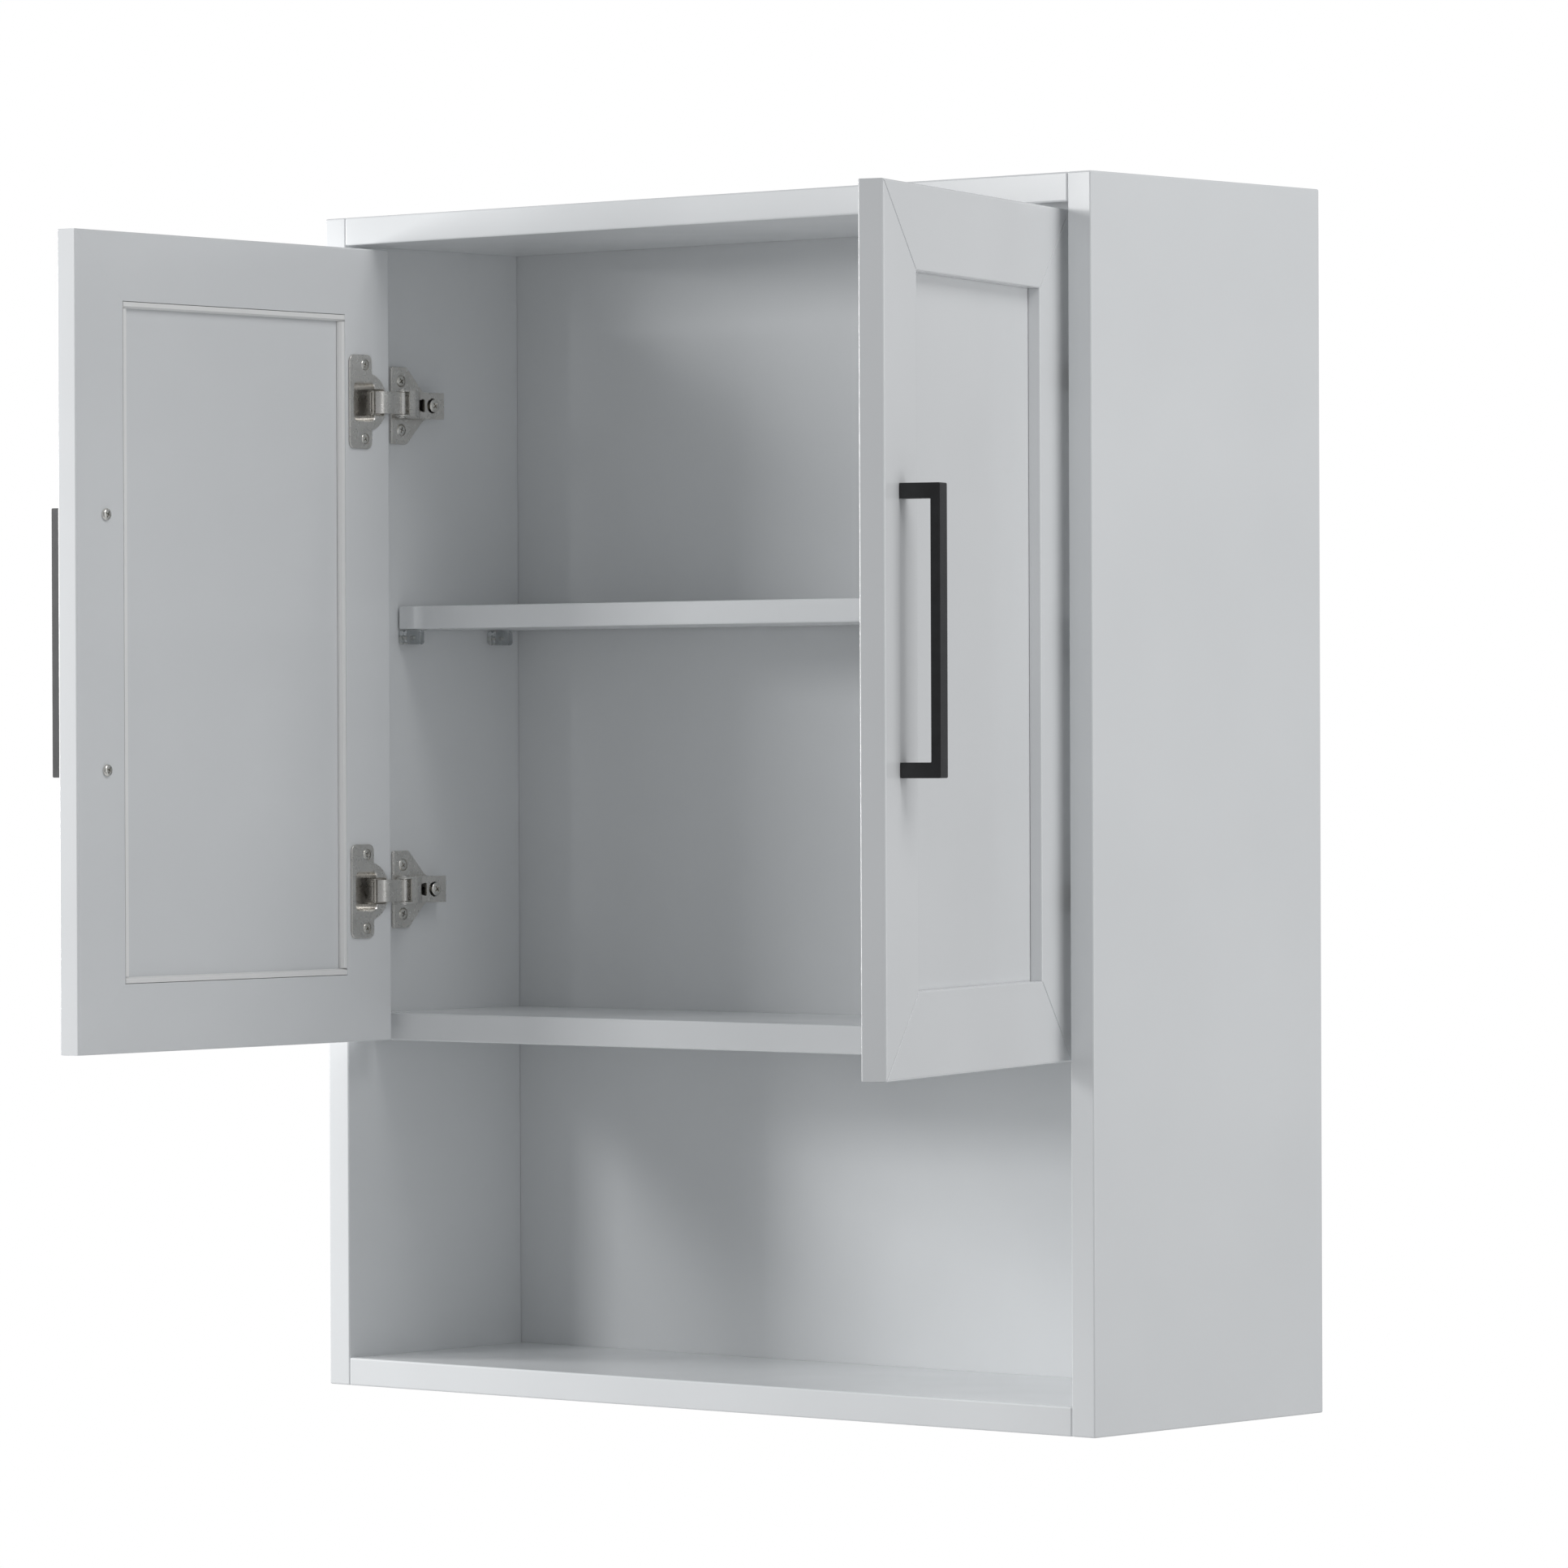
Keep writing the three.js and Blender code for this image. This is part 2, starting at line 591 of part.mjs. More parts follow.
function addArm(sideName, levelName) {
  const side = SIDES[sideName];
  const z = HINGE_HEIGHTS[levelName];
  const at = ([d, y]) => [side * (INNER_X - d), y];
  const whole = [z - ARM.halfWidth, z + ARM.halfWidth];
  const inside = [whole[0] + ARM.wall, whole[1] - ARM.wall];
  const outside = join(
    prism(ARM_OUTLINE.map(at), 'z', ...whole),
    rod('z', ARM.nose, ...whole, pivotX(side), ARM_PIVOT.y, 20),
  );
  const flat = fromSide(side, 8, 20); // through the flat rear part of the arm
  const arm = cut(
    outside,
    prism(ARM_HOLLOW.map(at), 'z', ...inside),
    box(pivotX(side) - 10, pivotX(side) + 10, 10, 28.5, ...inside),
    rod('z', ARM_PIN.bore, whole[0] - 1, whole[1] + 1, pivotX(side), ARM_PIVOT.y),
    box(...flat, WINDOW.from, WINDOW.to, z - WINDOW.halfHeight, z + WINDOW.halfHeight),
    rod('x', FIXING_SCREW.slotRadius, ...flat, FIXING_SCREW.slotY, z),
  );
  part(cabinet, `hinge_arm_${sideName}_${levelName}`, arm, nickel());
}

// The mounting plate: wings screwed to the side panel, and a block that the arm sits over. The
// block is hollow under the arm's window and under its slot.
const WINGS = [[41, 25.4], [55.5, 25.4], [70.5, 10], [74.5, 8]]; // upper half, as (y, height)

function addMountingPlate(sideName, levelName) {
  const side = SIDES[sideName];
  const z = HINGE_HEIGHTS[levelName];
  const lower = WINGS.map(([y, height]) => [y, z - height]);
  const upper = WINGS.map(([y, height]) => [y, z + height]).reverse();
  const { thickness, blockFrom, blockTo, blockTop, blockHalfHeight } = PLATE;
  const hollow = fromSide(side, 4, 12);
  const body = join(
    prism([...lower, ...upper], 'x', ...fromSide(side, GAP, thickness)),
    box(...fromSide(side, 1, blockTop), blockFrom, blockTo, z - blockHalfHeight, z + blockHalfHeight),
  );
  const screwHoles = [-1, 1].map((sign) => rod(
    'x', PLATE_SCREW.radius, ...fromSide(side, -1, 4), PLATE_SCREW.y, z + sign * PLATE_SCREW.spacing / 2,
  ));
  const plate = cut(
    body,
    ...screwHoles,
    box(...hollow, WINDOW.from - 1, WINDOW.to + 1, z - WINDOW.halfHeight, z + WINDOW.halfHeight),
    rod('x', FIXING_SCREW.thread, ...fromSide(side, 4, 12), FIXING_SCREW.y, z),
  );
  part(cabinet, `hinge_plate_${sideName}_${levelName}`, plate, nickel());
}

// ---------------------------------------------------------------- assembly

addHorizontalPanels();
addBackPanel();
addHangingRails();
addShelf();
for (const sideName of Object.keys(SIDES)) {
  addSidePanel(sideName);
  for (const placeName of Object.keys(PIN_PLACES)) addShelfPin(sideName, placeName);
  const door = doorGroup(sideName);
  addDoorFrame(door, sideName);
  addDoorPanel(door, sideName);
  addHandle(door, sideName);
  for (const levelName of Object.keys(HINGE_HEIGHTS)) {
    addCup(door, sideName, levelName);
    addLink(sideName, levelName);
    addPin(sideName, levelName);
    addArm(sideName, levelName);
    addMountingPlate(sideName, levelName);
  }
}

cabinet.position.set(0, -DEPTH, -RAIL_CENTRE);
const wallCabinet = new THREE.Group();
wallCabinet.add(cabinet);
export default wallCabinet;
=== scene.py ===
import json
import math

import bmesh
import bpy
from mathutils import Matrix, Vector


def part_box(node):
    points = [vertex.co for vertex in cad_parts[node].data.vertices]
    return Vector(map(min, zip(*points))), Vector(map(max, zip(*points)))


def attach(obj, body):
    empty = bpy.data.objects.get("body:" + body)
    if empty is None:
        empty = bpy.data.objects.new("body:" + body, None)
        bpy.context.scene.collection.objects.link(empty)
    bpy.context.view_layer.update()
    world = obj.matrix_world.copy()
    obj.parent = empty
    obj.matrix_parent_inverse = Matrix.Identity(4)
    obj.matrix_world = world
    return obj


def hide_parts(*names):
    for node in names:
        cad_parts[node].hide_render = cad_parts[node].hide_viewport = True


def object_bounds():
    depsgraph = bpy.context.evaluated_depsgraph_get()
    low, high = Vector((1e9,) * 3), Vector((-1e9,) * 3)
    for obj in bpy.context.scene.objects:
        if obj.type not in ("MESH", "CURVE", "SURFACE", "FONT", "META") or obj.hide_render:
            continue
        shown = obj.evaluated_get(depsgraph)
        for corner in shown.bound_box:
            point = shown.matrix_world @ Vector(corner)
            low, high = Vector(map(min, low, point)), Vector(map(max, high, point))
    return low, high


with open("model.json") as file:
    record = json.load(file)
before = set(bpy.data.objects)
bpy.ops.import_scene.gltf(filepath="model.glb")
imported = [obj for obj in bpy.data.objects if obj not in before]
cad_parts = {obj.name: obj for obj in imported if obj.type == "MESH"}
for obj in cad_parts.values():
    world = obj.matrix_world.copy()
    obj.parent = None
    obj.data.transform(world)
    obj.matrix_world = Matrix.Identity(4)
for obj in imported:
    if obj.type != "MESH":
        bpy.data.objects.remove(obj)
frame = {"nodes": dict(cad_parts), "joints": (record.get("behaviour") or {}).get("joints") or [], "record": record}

# A white wall cabinet with two framed doors that stand open. Shapes are given in millimetres,
# in one of three sets of coordinates:
#   case: x from the middle, y from the front plane towards the wall, z from the underside
#   door: e from the hinge edge, y from the front face, z from the lower edge
#   hinge: x from the side panel's inner face, y from the front plane, z from the hinge's middle
# side is -1 for the left half and +1 for the right half.

MM = 0.001
SIDES = {"left": -1, "right": 1}
LEVELS = ("upper", "lower")

cad_low, cad_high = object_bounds()
joints = {joint["name"]: joint for joint in frame["joints"]}

# ------------------------------------------------------------------ places from the frame

case_low, case_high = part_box("side_panel_left")
CASE_ORIGIN = Vector((0.0, case_low.y, case_low.z))
INNER_X = abs(case_high.x) / MM
CASE = Matrix.Translation(CASE_ORIGIN)


def case_place(point):
    """A point of the frame, in case coordinates."""
    return (Vector(point) - CASE_ORIGIN) / MM


def hinge_height(level):
    return case_place(joints[f"hinge_link_left_{level}_pivot"]["pos_m"]).z


# ------------------------------------------------------------------ sizes, mm

BOARD_EDGE = 1.2
GAP = 0.3

DOOR_THICKNESS = 16
DOOR_SIDE_GAP = 2
DOOR_MEETING_GAP = 3
DOOR_HEIGHT = 515
DOOR_BOTTOM = 225.5
DOOR_WIDTH = (2 * INNER_X - 2 * DOOR_SIDE_GAP - DOOR_MEETING_GAP) / 2
MEMBER = 50
RECESS = 7.5
RABBET = 6.5
PANEL = 4.2
BEAD = 4
BEAD_LIP = 1.6
BEAD_CREST = 2.9
MITRE_GAP = 0.2
MITRE_FILLED_GAP = 0.02
MITRE_EASE = 0.5

HANDLE_LENGTH = 169
HANDLE_LEG = 9
HANDLE_WIDTH = 11
HANDLE_BAR = 6
HANDLE_PROJECTION = 25
HANDLE_FROM_FREE_EDGE = 27
HANDLE_SCREW_SPACING = HANDLE_LENGTH - HANDLE_LEG
HANDLE_SCREW_BORE = 2.3  # radius

CUP_FROM_EDGE = 21.5
CUP_RADIUS = 17.5
CUP_DEPTH = 12
CUP_RIM = 18.5
CUP_FLANGE = 1.2
CUP_SCREW_SPACING = 48
CUP_SCREW_FROM_EDGE = 25.5

PIN_RADIUS = 1.5
PIN_BORE = 1.8
ARM_HALF_WIDTH = 8.7
ARM_WALL = 1.1
LINK_HALF_WIDTH = 7.2
LINK_THICKNESS = 1.6
PLATE_SCREW_SPACING = 32
PLATE_SCREW_Y = 50
FIXING_SCREW_Y = 70
FIXING_SCREW_BORE = 2.6

# ------------------------------------------------------------------ materials


def new_material(name, sockets):
    material = bpy.data.materials.new(name)
    material.use_nodes = True
    shader = material.node_tree.nodes["Principled BSDF"]
    for socket, value in sockets.items():
        shader.inputs[socket].default_value = value
    return material


# Most values of a noise texture lie between these two.
NOISE_LOW = 0.3
NOISE_HIGH = 0.7


def add_noise(material, scale, detail=3.0, stretch=(1, 1, 1)):
    """A noise texture in the object's own metres."""
    nodes, links = material.node_tree.nodes, material.node_tree.links
    coordinates = nodes.new("ShaderNodeTexCoord")
    mapping = nodes.new("ShaderNodeMapping")
    mapping.inputs["Scale"].default_value = stretch
    noise = nodes.new("ShaderNodeTexNoise")
    noise.inputs["Scale"].default_value = scale
    noise.inputs["Detail"].default_value = detail
    links.new(coordinates.outputs["Object"], mapping.inputs["Vector"])
    links.new(mapping.outputs["Vector"], noise.inputs["Vector"])
    return noise.outputs["Fac"]


def vary_color(material, source, low, high):
    nodes, links = material.node_tree.nodes, material.node_tree.links
    ramp = nodes.new("ShaderNodeValToRGB")
    ramp.color_ramp.elements[0].position = NOISE_LOW
    ramp.color_ramp.elements[1].position = NOISE_HIGH
    ramp.color_ramp.elements[0].color = (*low, 1)
    ramp.color_ramp.elements[1].color = (*high, 1)
    links.new(source, ramp.inputs["Fac"])
    links.new(ramp.outputs["Color"], nodes["Principled BSDF"].inputs["Base Color"])


def vary_roughness(material, source, low, high):
    nodes, links = material.node_tree.nodes, material.node_tree.links
    spread = nodes.new("ShaderNodeMapRange")
    spread.inputs["From Min"].default_value = NOISE_LOW
    spread.inputs["From Max"].default_value = NOISE_HIGH
    spread.inputs["To Min"].default_value = low
    spread.inputs["To Max"].default_value = high
    links.new(source, spread.inputs["Value"])
    links.new(spread.outputs["Result"], nodes["Principled BSDF"].inputs["Roughness"])


def add_bump(material, source, height_mm, strength):
    nodes, links = material.node_tree.nodes, material.node_tree.links
    bump = nodes.new("ShaderNodeBump")
    bump.inputs["Strength"].default_value = strength
    bump.inputs["Distance"].default_value = height_mm * MM
    links.new(source, bump.inputs["Height"])
    links.new(bump.outputs["Normal"], nodes["Principled BSDF"].inputs["Normal"])


def lacquer(name, low, high, roughness):
    """Sprayed white lacquer: faint clouds in the tone, and the fine ripple of a sprayed coat."""
    material = new_material(name, {"IOR": 1.5})
    clouds = add_noise(material, 7, detail=2)
    vary_color(material, clouds, low, high)
    vary_roughness(material, clouds, *roughness)
    add_bump(material, add_noise(material, 240, detail=2), 0.02, strength=0.35)
    return material


def metal(name, low, high, roughness, grain_scale):
    """Plated metal with slight changes of tone and a fine grain."""
    material = new_material(name, {"Metallic": 1.0})
    grain = add_noise(material, grain_scale, detail=4)
    vary_color(material, add_noise(material, 60, detail=2), low, high)
    vary_roughness(material, grain, *roughness)
    add_bump(material, grain, 0.01, strength=0.12)
    return material


def powder_coat(name):
    material = new_material(name, {"IOR": 1.5})
    vary_color(material, add_noise(material, 90), (0.016, 0.016, 0.017), (0.024, 0.024, 0.026))
    speckle = add_noise(material, 1600, detail=2)
    vary_roughness(material, speckle, 0.34, 0.46)
    add_bump(material, speckle, 0.03, strength=0.5)
    return material


def clear_plastic(name):
    material = new_material(name, {"Transmission Weight": 0.92, "IOR": 1.49})
    swirl = add_noise(material, 180, detail=1)
    vary_color(material, swirl, (0.84, 0.87, 0.88), (0.93, 0.95, 0.96))
    vary_roughness(material, swirl, 0.04, 0.12)
    add_bump(material, swirl, 0.05, strength=0.4)
    return material


def softwood(name):
    """Planed pine: growth rings drawn out along the board's length."""
    material = new_material(name, {"IOR": 1.45})
    grain = add_noise(material, 26, detail=8, stretch=(0.06, 1, 1))
    vary_color(material, grain, (0.46, 0.31, 0.17), (0.68, 0.52, 0.33))
    vary_roughness(material, grain, 0.55, 0.75)
    add_bump(material, grain, 0.15, strength=0.5)
    return material


MATERIALS = {
    "case_paint": lacquer("case_lacquer", (0.80, 0.815, 0.825), (0.83, 0.845, 0.855), (0.20, 0.27)),
    "door_paint": lacquer("door_lacquer", (0.80, 0.812, 0.822), (0.83, 0.842, 0.852), (0.15, 0.21)),
    "panel_paint": lacquer("panel_lacquer", (0.79, 0.802, 0.812), (0.82, 0.832, 0.842), (0.12, 0.17)),
    # The beads' lacquer is whiter than the door's. Part of that is a whiter coat of their own, and part is painted
    # highlight for the light that falls on the beads.
    "bead_paint": lacquer("bead_lacquer_and_highlight", (0.93, 0.925, 0.915), (0.96, 0.955, 0.945), (0.20, 0.28)),
    "back_paint": lacquer("back_lacquer", (0.74, 0.755, 0.765), (0.77, 0.785, 0.795), (0.28, 0.36)),
    "raw_board": softwood("pine"),
    "nickel": metal("nickel_plate", (0.72, 0.70, 0.665), (0.80, 0.78, 0.745), (0.24, 0.36), 420),
    "zinc_steel": metal("zinc_plate", (0.70, 0.68, 0.63), (0.80, 0.785, 0.75), (0.16, 0.28), 700),
    "black_metal": powder_coat("black_coat"),
    "clear_plastic": clear_plastic("clear_plug"),
}

# ------------------------------------------------------------------ outlines


def arc(centre, radius, start, end, steps):
    """Points on an arc, from one angle to another, in degrees."""
    angles = [math.radians(start + (end - start) * i / steps) for i in range(steps + 1)]
    return [(centre[0] + radius * math.cos(a), centre[1] + radius * math.sin(a)) for a in angles]


def rounded(points, radii, steps=5):
    """A closed outline whose corners are rounded by the given radii."""
    outline = []
    for i, radius in enumerate(radii):
        corner = Vector(points[i])
        if radius == 0:
            outline.append(tuple(corner))
            continue
        before = (Vector(points[i - 1]) - corner).normalized()
        after = (Vector(points[(i + 1) % len(points)]) - corner).normalized()
        half = before.angle(after) / 2
        centre = corner + (before + after).normalized() * radius / math.sin(half)
        start = corner + before * radius / math.tan(half) - centre
        turn = start.angle_signed(corner + after * radius / math.tan(half) - centre)
        for step in range(steps + 1):
            spoke = Matrix.Rotation(-turn * step / steps, 2) @ start
            outline.append(tuple(centre + spoke))
    return outline


def rounded_rectangle(u0, u1, v0, v1, radius):
    return rounded([(u0, v0), (u1, v0), (u1, v1), (u0, v1)], [radius] * 4, steps=6)


# ------------------------------------------------------------------ meshes, built in millimetres

AXIS_ORDER = {"x": (2, 0, 1), "y": (0, 2, 1), "z": (0, 1, 2)}
EASED_ANGLE = math.radians(30)
CREASE_ANGLE = math.radians(35)


def on_axis(axis, u, v, w):
    """The point whose outline place is (u, v) and whose place along the axis is w."""
    values = (u, v, w)
    return Vector([values[i] for i in AXIS_ORDER[axis]])


def ease_edges(build, width, segments):
    """Rounds every edge whose faces meet at more than EASED_ANGLE."""
    bmesh.ops.recalc_face_normals(build, faces=build.faces)
    if width:
        sharp = [edge for edge in build.edges if edge.calc_face_angle(0) > EASED_ANGLE]
        bmesh.ops.bevel(
            build, geom=sharp, offset=width, segments=segments, profile=0.5,
            affect="EDGES", clamp_overlap=True,
        )


def to_mesh(build):
    bmesh.ops.recalc_face_normals(build, faces=build.faces)
    mesh = bpy.data.meshes.new("shape")
    build.to_mesh(mesh)
    build.free()
    return mesh


def loft(rings, ease=0.0, segments=2):
    """A closed skin through rings of points, with a flat face at each end."""
    build = bmesh.new()
    rows = [[build.verts.new(point) for point in ring] for ring in rings]
    count = len(rows[0])
    for lower, upper in zip(rows, rows[1:]):
        for i in range(count):
            build.faces.new((lower[i], lower[(i + 1) % count], upper[(i + 1) % count], upper[i]))
    build.faces.new(rows[0])
    build.faces.new(rows[-1])
    ease_edges(build, ease, segments)
    return to_mesh(build)


def prism(outline, axis, start, end, ease=0.0, segments=2):
    return loft([[on_axis(axis, u, v, w) for u, v in outline] for w in (start, end)], ease, segments)


def slab(x, y, z, ease=BOARD_EDGE, segments=4):
    """A rectangular board with rounded edges, from its ranges along x, y and z."""
    corners = [(x[0], y[0]), (x[1], y[0]), (x[1], y[1]), (x[0], y[1])]
    return prism(corners, "z", z[0], z[1], ease, segments)


def lathe(profile, axis, u, v, steps=48):
    """Turns a profile of (radius, place along the axis) about the axis through (u, v)."""
    build = bmesh.new()
    rows = []
    for radius, w in profile:
        if radius == 0:
            rows.append([build.verts.new(on_axis(axis, u, v, w))])
            continue
        circle = arc((u, v), radius, 0, 360 - 360 / steps, steps - 1)
        rows.append([build.verts.new(on_axis(axis, a, b, w)) for a, b in circle])
    for lower, upper in zip(rows, rows[1:]):
        for i in range(steps):
            corners = ((lower, i), (lower, i + 1), (upper, i + 1), (upper, i))
            # a row on the axis is one point, so its two corners are the same and make a triangle
            build.faces.new(dict.fromkeys(row[j % len(row)] for row, j in corners))
    return to_mesh(build)


def rod(axis, radius, start, end, u, v, ease=0.0, steps=48):
    """A round bar with eased ends."""
    if ease:
        inner = radius - ease
        skin = [(inner, start), (radius, start + ease), (radius, end - ease), (inner, end)]
    else:
        skin = [(radius, start), (radius, end)]
    return lathe([(0, start), *skin, (0, end)], axis, u, v, steps)


def combine(base, tools, operation):
    """Joins tools to a mesh, or cuts them from it."""
    target = bpy.data.objects.new("target", base)
    helpers = [target]
    bpy.context.scene.collection.objects.link(target)
    for tool in tools:
        helper = bpy.data.objects.new("tool", tool)
        bpy.context.scene.collection.objects.link(helper)
        helpers.append(helper)
        modifier = target.modifiers.new("boolean", "BOOLEAN")
        modifier.operation = operation
        modifier.solver = "EXACT"
        modifier.object = helper
    graph = bpy.context.evaluated_depsgraph_get()
    result = bpy.data.meshes.new_from_object(target.evaluated_get(graph))
    for helper in helpers:
        bpy.data.objects.remove(helper)
    if not result.polygons:
        raise ValueError(f"an empty shape after {operation}")
    return result


def cut(base, *tools):
    return combine(base, tools, "DIFFERENCE")


def join(base, *tools):
    return combine(base, tools, "UNION")


def add_piece(name, mesh, place, body, slot, node=None):
    """Puts a mesh in the scene: scaled to metres, placed, shaded and tied to its body."""
    mesh.transform(place @ Matrix.Scale(MM, 4))
    if place.determinant() < 0:
        mesh.flip_normals()
    mesh.name = name
    for polygon in mesh.polygons:
        polygon.use_smooth = True
    mesh.set_sharp_from_angle(angle=CREASE_ANGLE)
    mesh.materials.clear()
    mesh.materials.append(MATERIALS[slot])
    piece = bpy.data.objects.new(name, mesh)
    bpy.context.scene.collection.objects.link(piece)
    normals = piece.modifiers.new("normals", "WEIGHTED_NORMAL")
    normals.keep_sharp = True
    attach(piece, body)
    if node:
        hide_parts(node)
    return piece


def dress_node(node, slot):
    """A CAD node that keeps its own shape and takes a finished material."""
    mesh = frame["nodes"][node].data
    mesh.materials.clear()
    mesh.materials.append(MATERIALS[slot])


# ------------------------------------------------------------------ case

GROOVE_TOLERANCE = 0.3


def node_ranges(node):
    """A node's ranges along x, y and z, in case coordinates."""
    low, high = (case_place(corner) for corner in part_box(node))
    return [(low[i], high[i]) for i in range(3)]


def back_panel_groove():
    """The back panel's own shape with a little clearance all round."""
    grown = [
        (low - GROOVE_TOLERANCE, high + GROOVE_TOLERANCE)
        for low, high in node_ranges("back_panel")
    ]
    return slab(*grown, ease=0)


def add_boards():
    for node in ("side_panel_left", "side_panel_right", "top_panel", "bottom_panel"):
        board = cut(slab(*node_ranges(node)), back_panel_groove())
        add_piece(f"{node}_board", board, CASE, "root", "case_paint", node)
    for node in ("middle_panel", "inner_shelf"):
        add_piece(f"{node}_board", slab(*node_ranges(node)), CASE, "root", "case_paint", node)
    dress_node("back_panel", "back_paint")


HANGER_CORNER = 3
KEYHOLE_RADIUS = 5
KEYHOLE_SLOT_RADIUS = 2.6
KEYHOLE_RISE = 14
RAIL_POCKET = 10
RAIL_EDGE = 0.8


def add_hanging_rails():
    """The pine rails at the back, with a steel keyhole plate let into the upper one at each side."""
    upper = slab(*node_ranges("hanging_rail_upper"), ease=RAIL_EDGE)
    lower = slab(*node_ranges("hanging_rail_lower"), ease=RAIL_EDGE)
    pockets = []
    for side_name in SIDES:
        node = f"hanger_plate_{side_name}"
        x, y, z = node_ranges(node)
        middle_x = sum(x) / 2
        middle_z = sum(z) / 2
        outline = rounded_rectangle(*x, *z, HANGER_CORNER)
        head = middle_z - KEYHOLE_RISE / 2
        tip = middle_z + KEYHOLE_RISE / 2
        through = (y[0] - 1, y[1] + 1)
        slot_outline = [
            (middle_x - KEYHOLE_SLOT_RADIUS, head),
            (middle_x + KEYHOLE_SLOT_RADIUS, head),
            *arc((middle_x, tip), KEYHOLE_SLOT_RADIUS, 0, 180, 16),
        ]
        plate = cut(
            prism(outline, "y", *y, ease=0.3),
            rod("y", KEYHOLE_RADIUS, *through, middle_x, head),
            prism(slot_outline, "y", *through),
        )
        add_piece(f"{node}_steel", plate, CASE, "root", "zinc_steel", node)
        seat = rounded_rectangle(x[0] - GAP, x[1] + GAP, z[0] - GAP, z[1] + GAP, HANGER_CORNER)
        pockets.append(prism(seat, "y", y[0] - GAP, y[1] + 1))
        pockets.append(slab(
            (middle_x - KEYHOLE_RADIUS - 1, middle_x + KEYHOLE_RADIUS + 1),
            (y[1] - RAIL_POCKET, y[1] + 1),
            (middle_z - KEYHOLE_RISE, middle_z + KEYHOLE_RISE),
            ease=0,
        ))
    for node, board in (("hanging_rail_upper", cut(upper, *pockets)), ("hanging_rail_lower", lower)):
        add_piece(f"{node}_board", board, CASE, "root", "raw_board", node)


PLUG_BLOCK_DEPTH = 8
PLUG_CORNER = 2.5
PLUG_PIN_RADIUS = 2.4
PLUG_PIN_ROOT = 4  # how far the pin reaches into the block
PLUG_AXIS_FROM_TOP = 5.2
PLUG_CORE_RADIUS = 1.3
PLUG_CORE_IN_BOARD = 6
PLUG_CORE_IN_BLOCK = 6.5


def add_shelf_pins():
    """Clear plugs with a steel core, pushed into the side panels under the shelf."""
    for side_name, side in SIDES.items():
        for place_name in ("front", "rear"):
            node = f"shelf_pin_{side_name}_{place_name}"
            x, y, z = node_ranges(node)
            inner = side * INNER_X
            pin_tip = max(x, key=lambda value: side * value)
            block_ends = sorted((inner - side * GAP, inner - side * PLUG_BLOCK_DEPTH))
            pin_ends = sorted((pin_tip, inner - side * PLUG_PIN_ROOT))
            core_ends = sorted((inner + side * PLUG_CORE_IN_BOARD, inner - side * PLUG_CORE_IN_BLOCK))
            axis_y = sum(y) / 2
            axis_z = z[1] - PLUG_AXIS_FROM_TOP
            plug = join(
                prism(rounded_rectangle(*y, *z, PLUG_CORNER), "x", *block_ends, ease=0.6, segments=3),
                rod("x", PLUG_PIN_RADIUS, *pin_ends, axis_y, axis_z, ease=0.5),
            )
            add_piece(f"{node}_plug", plug, CASE, "root", "clear_plastic", node)
            core = rod("x", PLUG_CORE_RADIUS, *core_ends, axis_y, axis_z, ease=0.3, steps=24)
            add_piece(f"{node}_core", core, CASE, "root", "zinc_steel")


# ------------------------------------------------------------------ doors


class Door:
    """A door's coordinates: its body's name, and its place in the frame as it stands open."""

    def __init__(self, side_name):
        joint = joints[f"door_{side_name}_hinge"]
        self.side_name = side_name
        self.name = f"door_{side_name}"
        self.body = joint["child"]
        side = SIDES[side_name]
        axis = case_place(joint["pos_m"])
        axis_from_edge = INNER_X - abs(axis.x) - DOOR_SIDE_GAP
        open_angle = math.radians(-joint["range_deg"][0])
        foot = CASE_ORIGIN + Vector((axis.x, axis.y, DOOR_BOTTOM)) * MM
        turn = Matrix.Rotation(side * open_angle, 4, "Z")
        to_axis = Matrix.Translation(Vector((side * axis_from_edge, -axis.y, 0)) * MM)
        mirror = Matrix.Diagonal((-side, 1, 1, 1))
        self.place = Matrix.Translation(foot) @ turn @ to_axis @ mirror

    def add(self, name, mesh, slot, node=None):
        return add_piece(name, mesh, self.place, self.body, slot, node)


def member_section():
    """Section of a frame member, as (distance from the door's edge, y), with a rabbet behind."""
    points = [
        (0, 0),
        (MEMBER, 0),
        (MEMBER, RECESS),
        (MEMBER - RABBET, RECESS),
        (MEMBER - RABBET, DOOR_THICKNESS),
        (0, DOOR_THICKNESS),
    ]
    return rounded(points, [1.4, 1.0, 0, 0, 0.5, 1.2])


def member_rings(length):
    """The section along a member: (across, y, along), mitred. The joints show as a fine groove in
    front and are filled behind."""
    section = member_section()
    sunk = [(w, max(y, MITRE_EASE)) for w, y in section]
    gaps = [MITRE_GAP if y < RECESS else MITRE_FILLED_GAP for w, y in section]
    rings = []
    for outline, setback in ((sunk, 0), (section, MITRE_EASE)):
        rings.append([(w, y, w + gap + setback) for (w, y), gap in zip(outline, gaps)])
    for outline, setback in ((section, MITRE_EASE), (sunk, 0)):
        rings.append([(w, y, length - w - gap - setback) for (w, y), gap in zip(outline, gaps)])
    return rings


def stile_mesh(edge):
    """A stile on the hinge edge (0) or on the free edge (the door's width)."""
    across = -1 if edge else 1
    return loft([[(edge + across * w, y, s) for w, y, s in ring] for ring in member_rings(DOOR_HEIGHT)])


def rail_mesh(edge):
    """A rail on the lower edge (0) or on the upper edge (the door's height)."""
    across = -1 if edge else 1
    return loft([[(s, y, edge + across * w) for w, y, s in ring] for ring in member_rings(DOOR_WIDTH)])


def handle_screw_heights():
    return [DOOR_HEIGHT / 2 + sign * HANDLE_SCREW_SPACING / 2 for sign in (1, -1)]


def cup_height(level):
    return hinge_height(level) - DOOR_BOTTOM


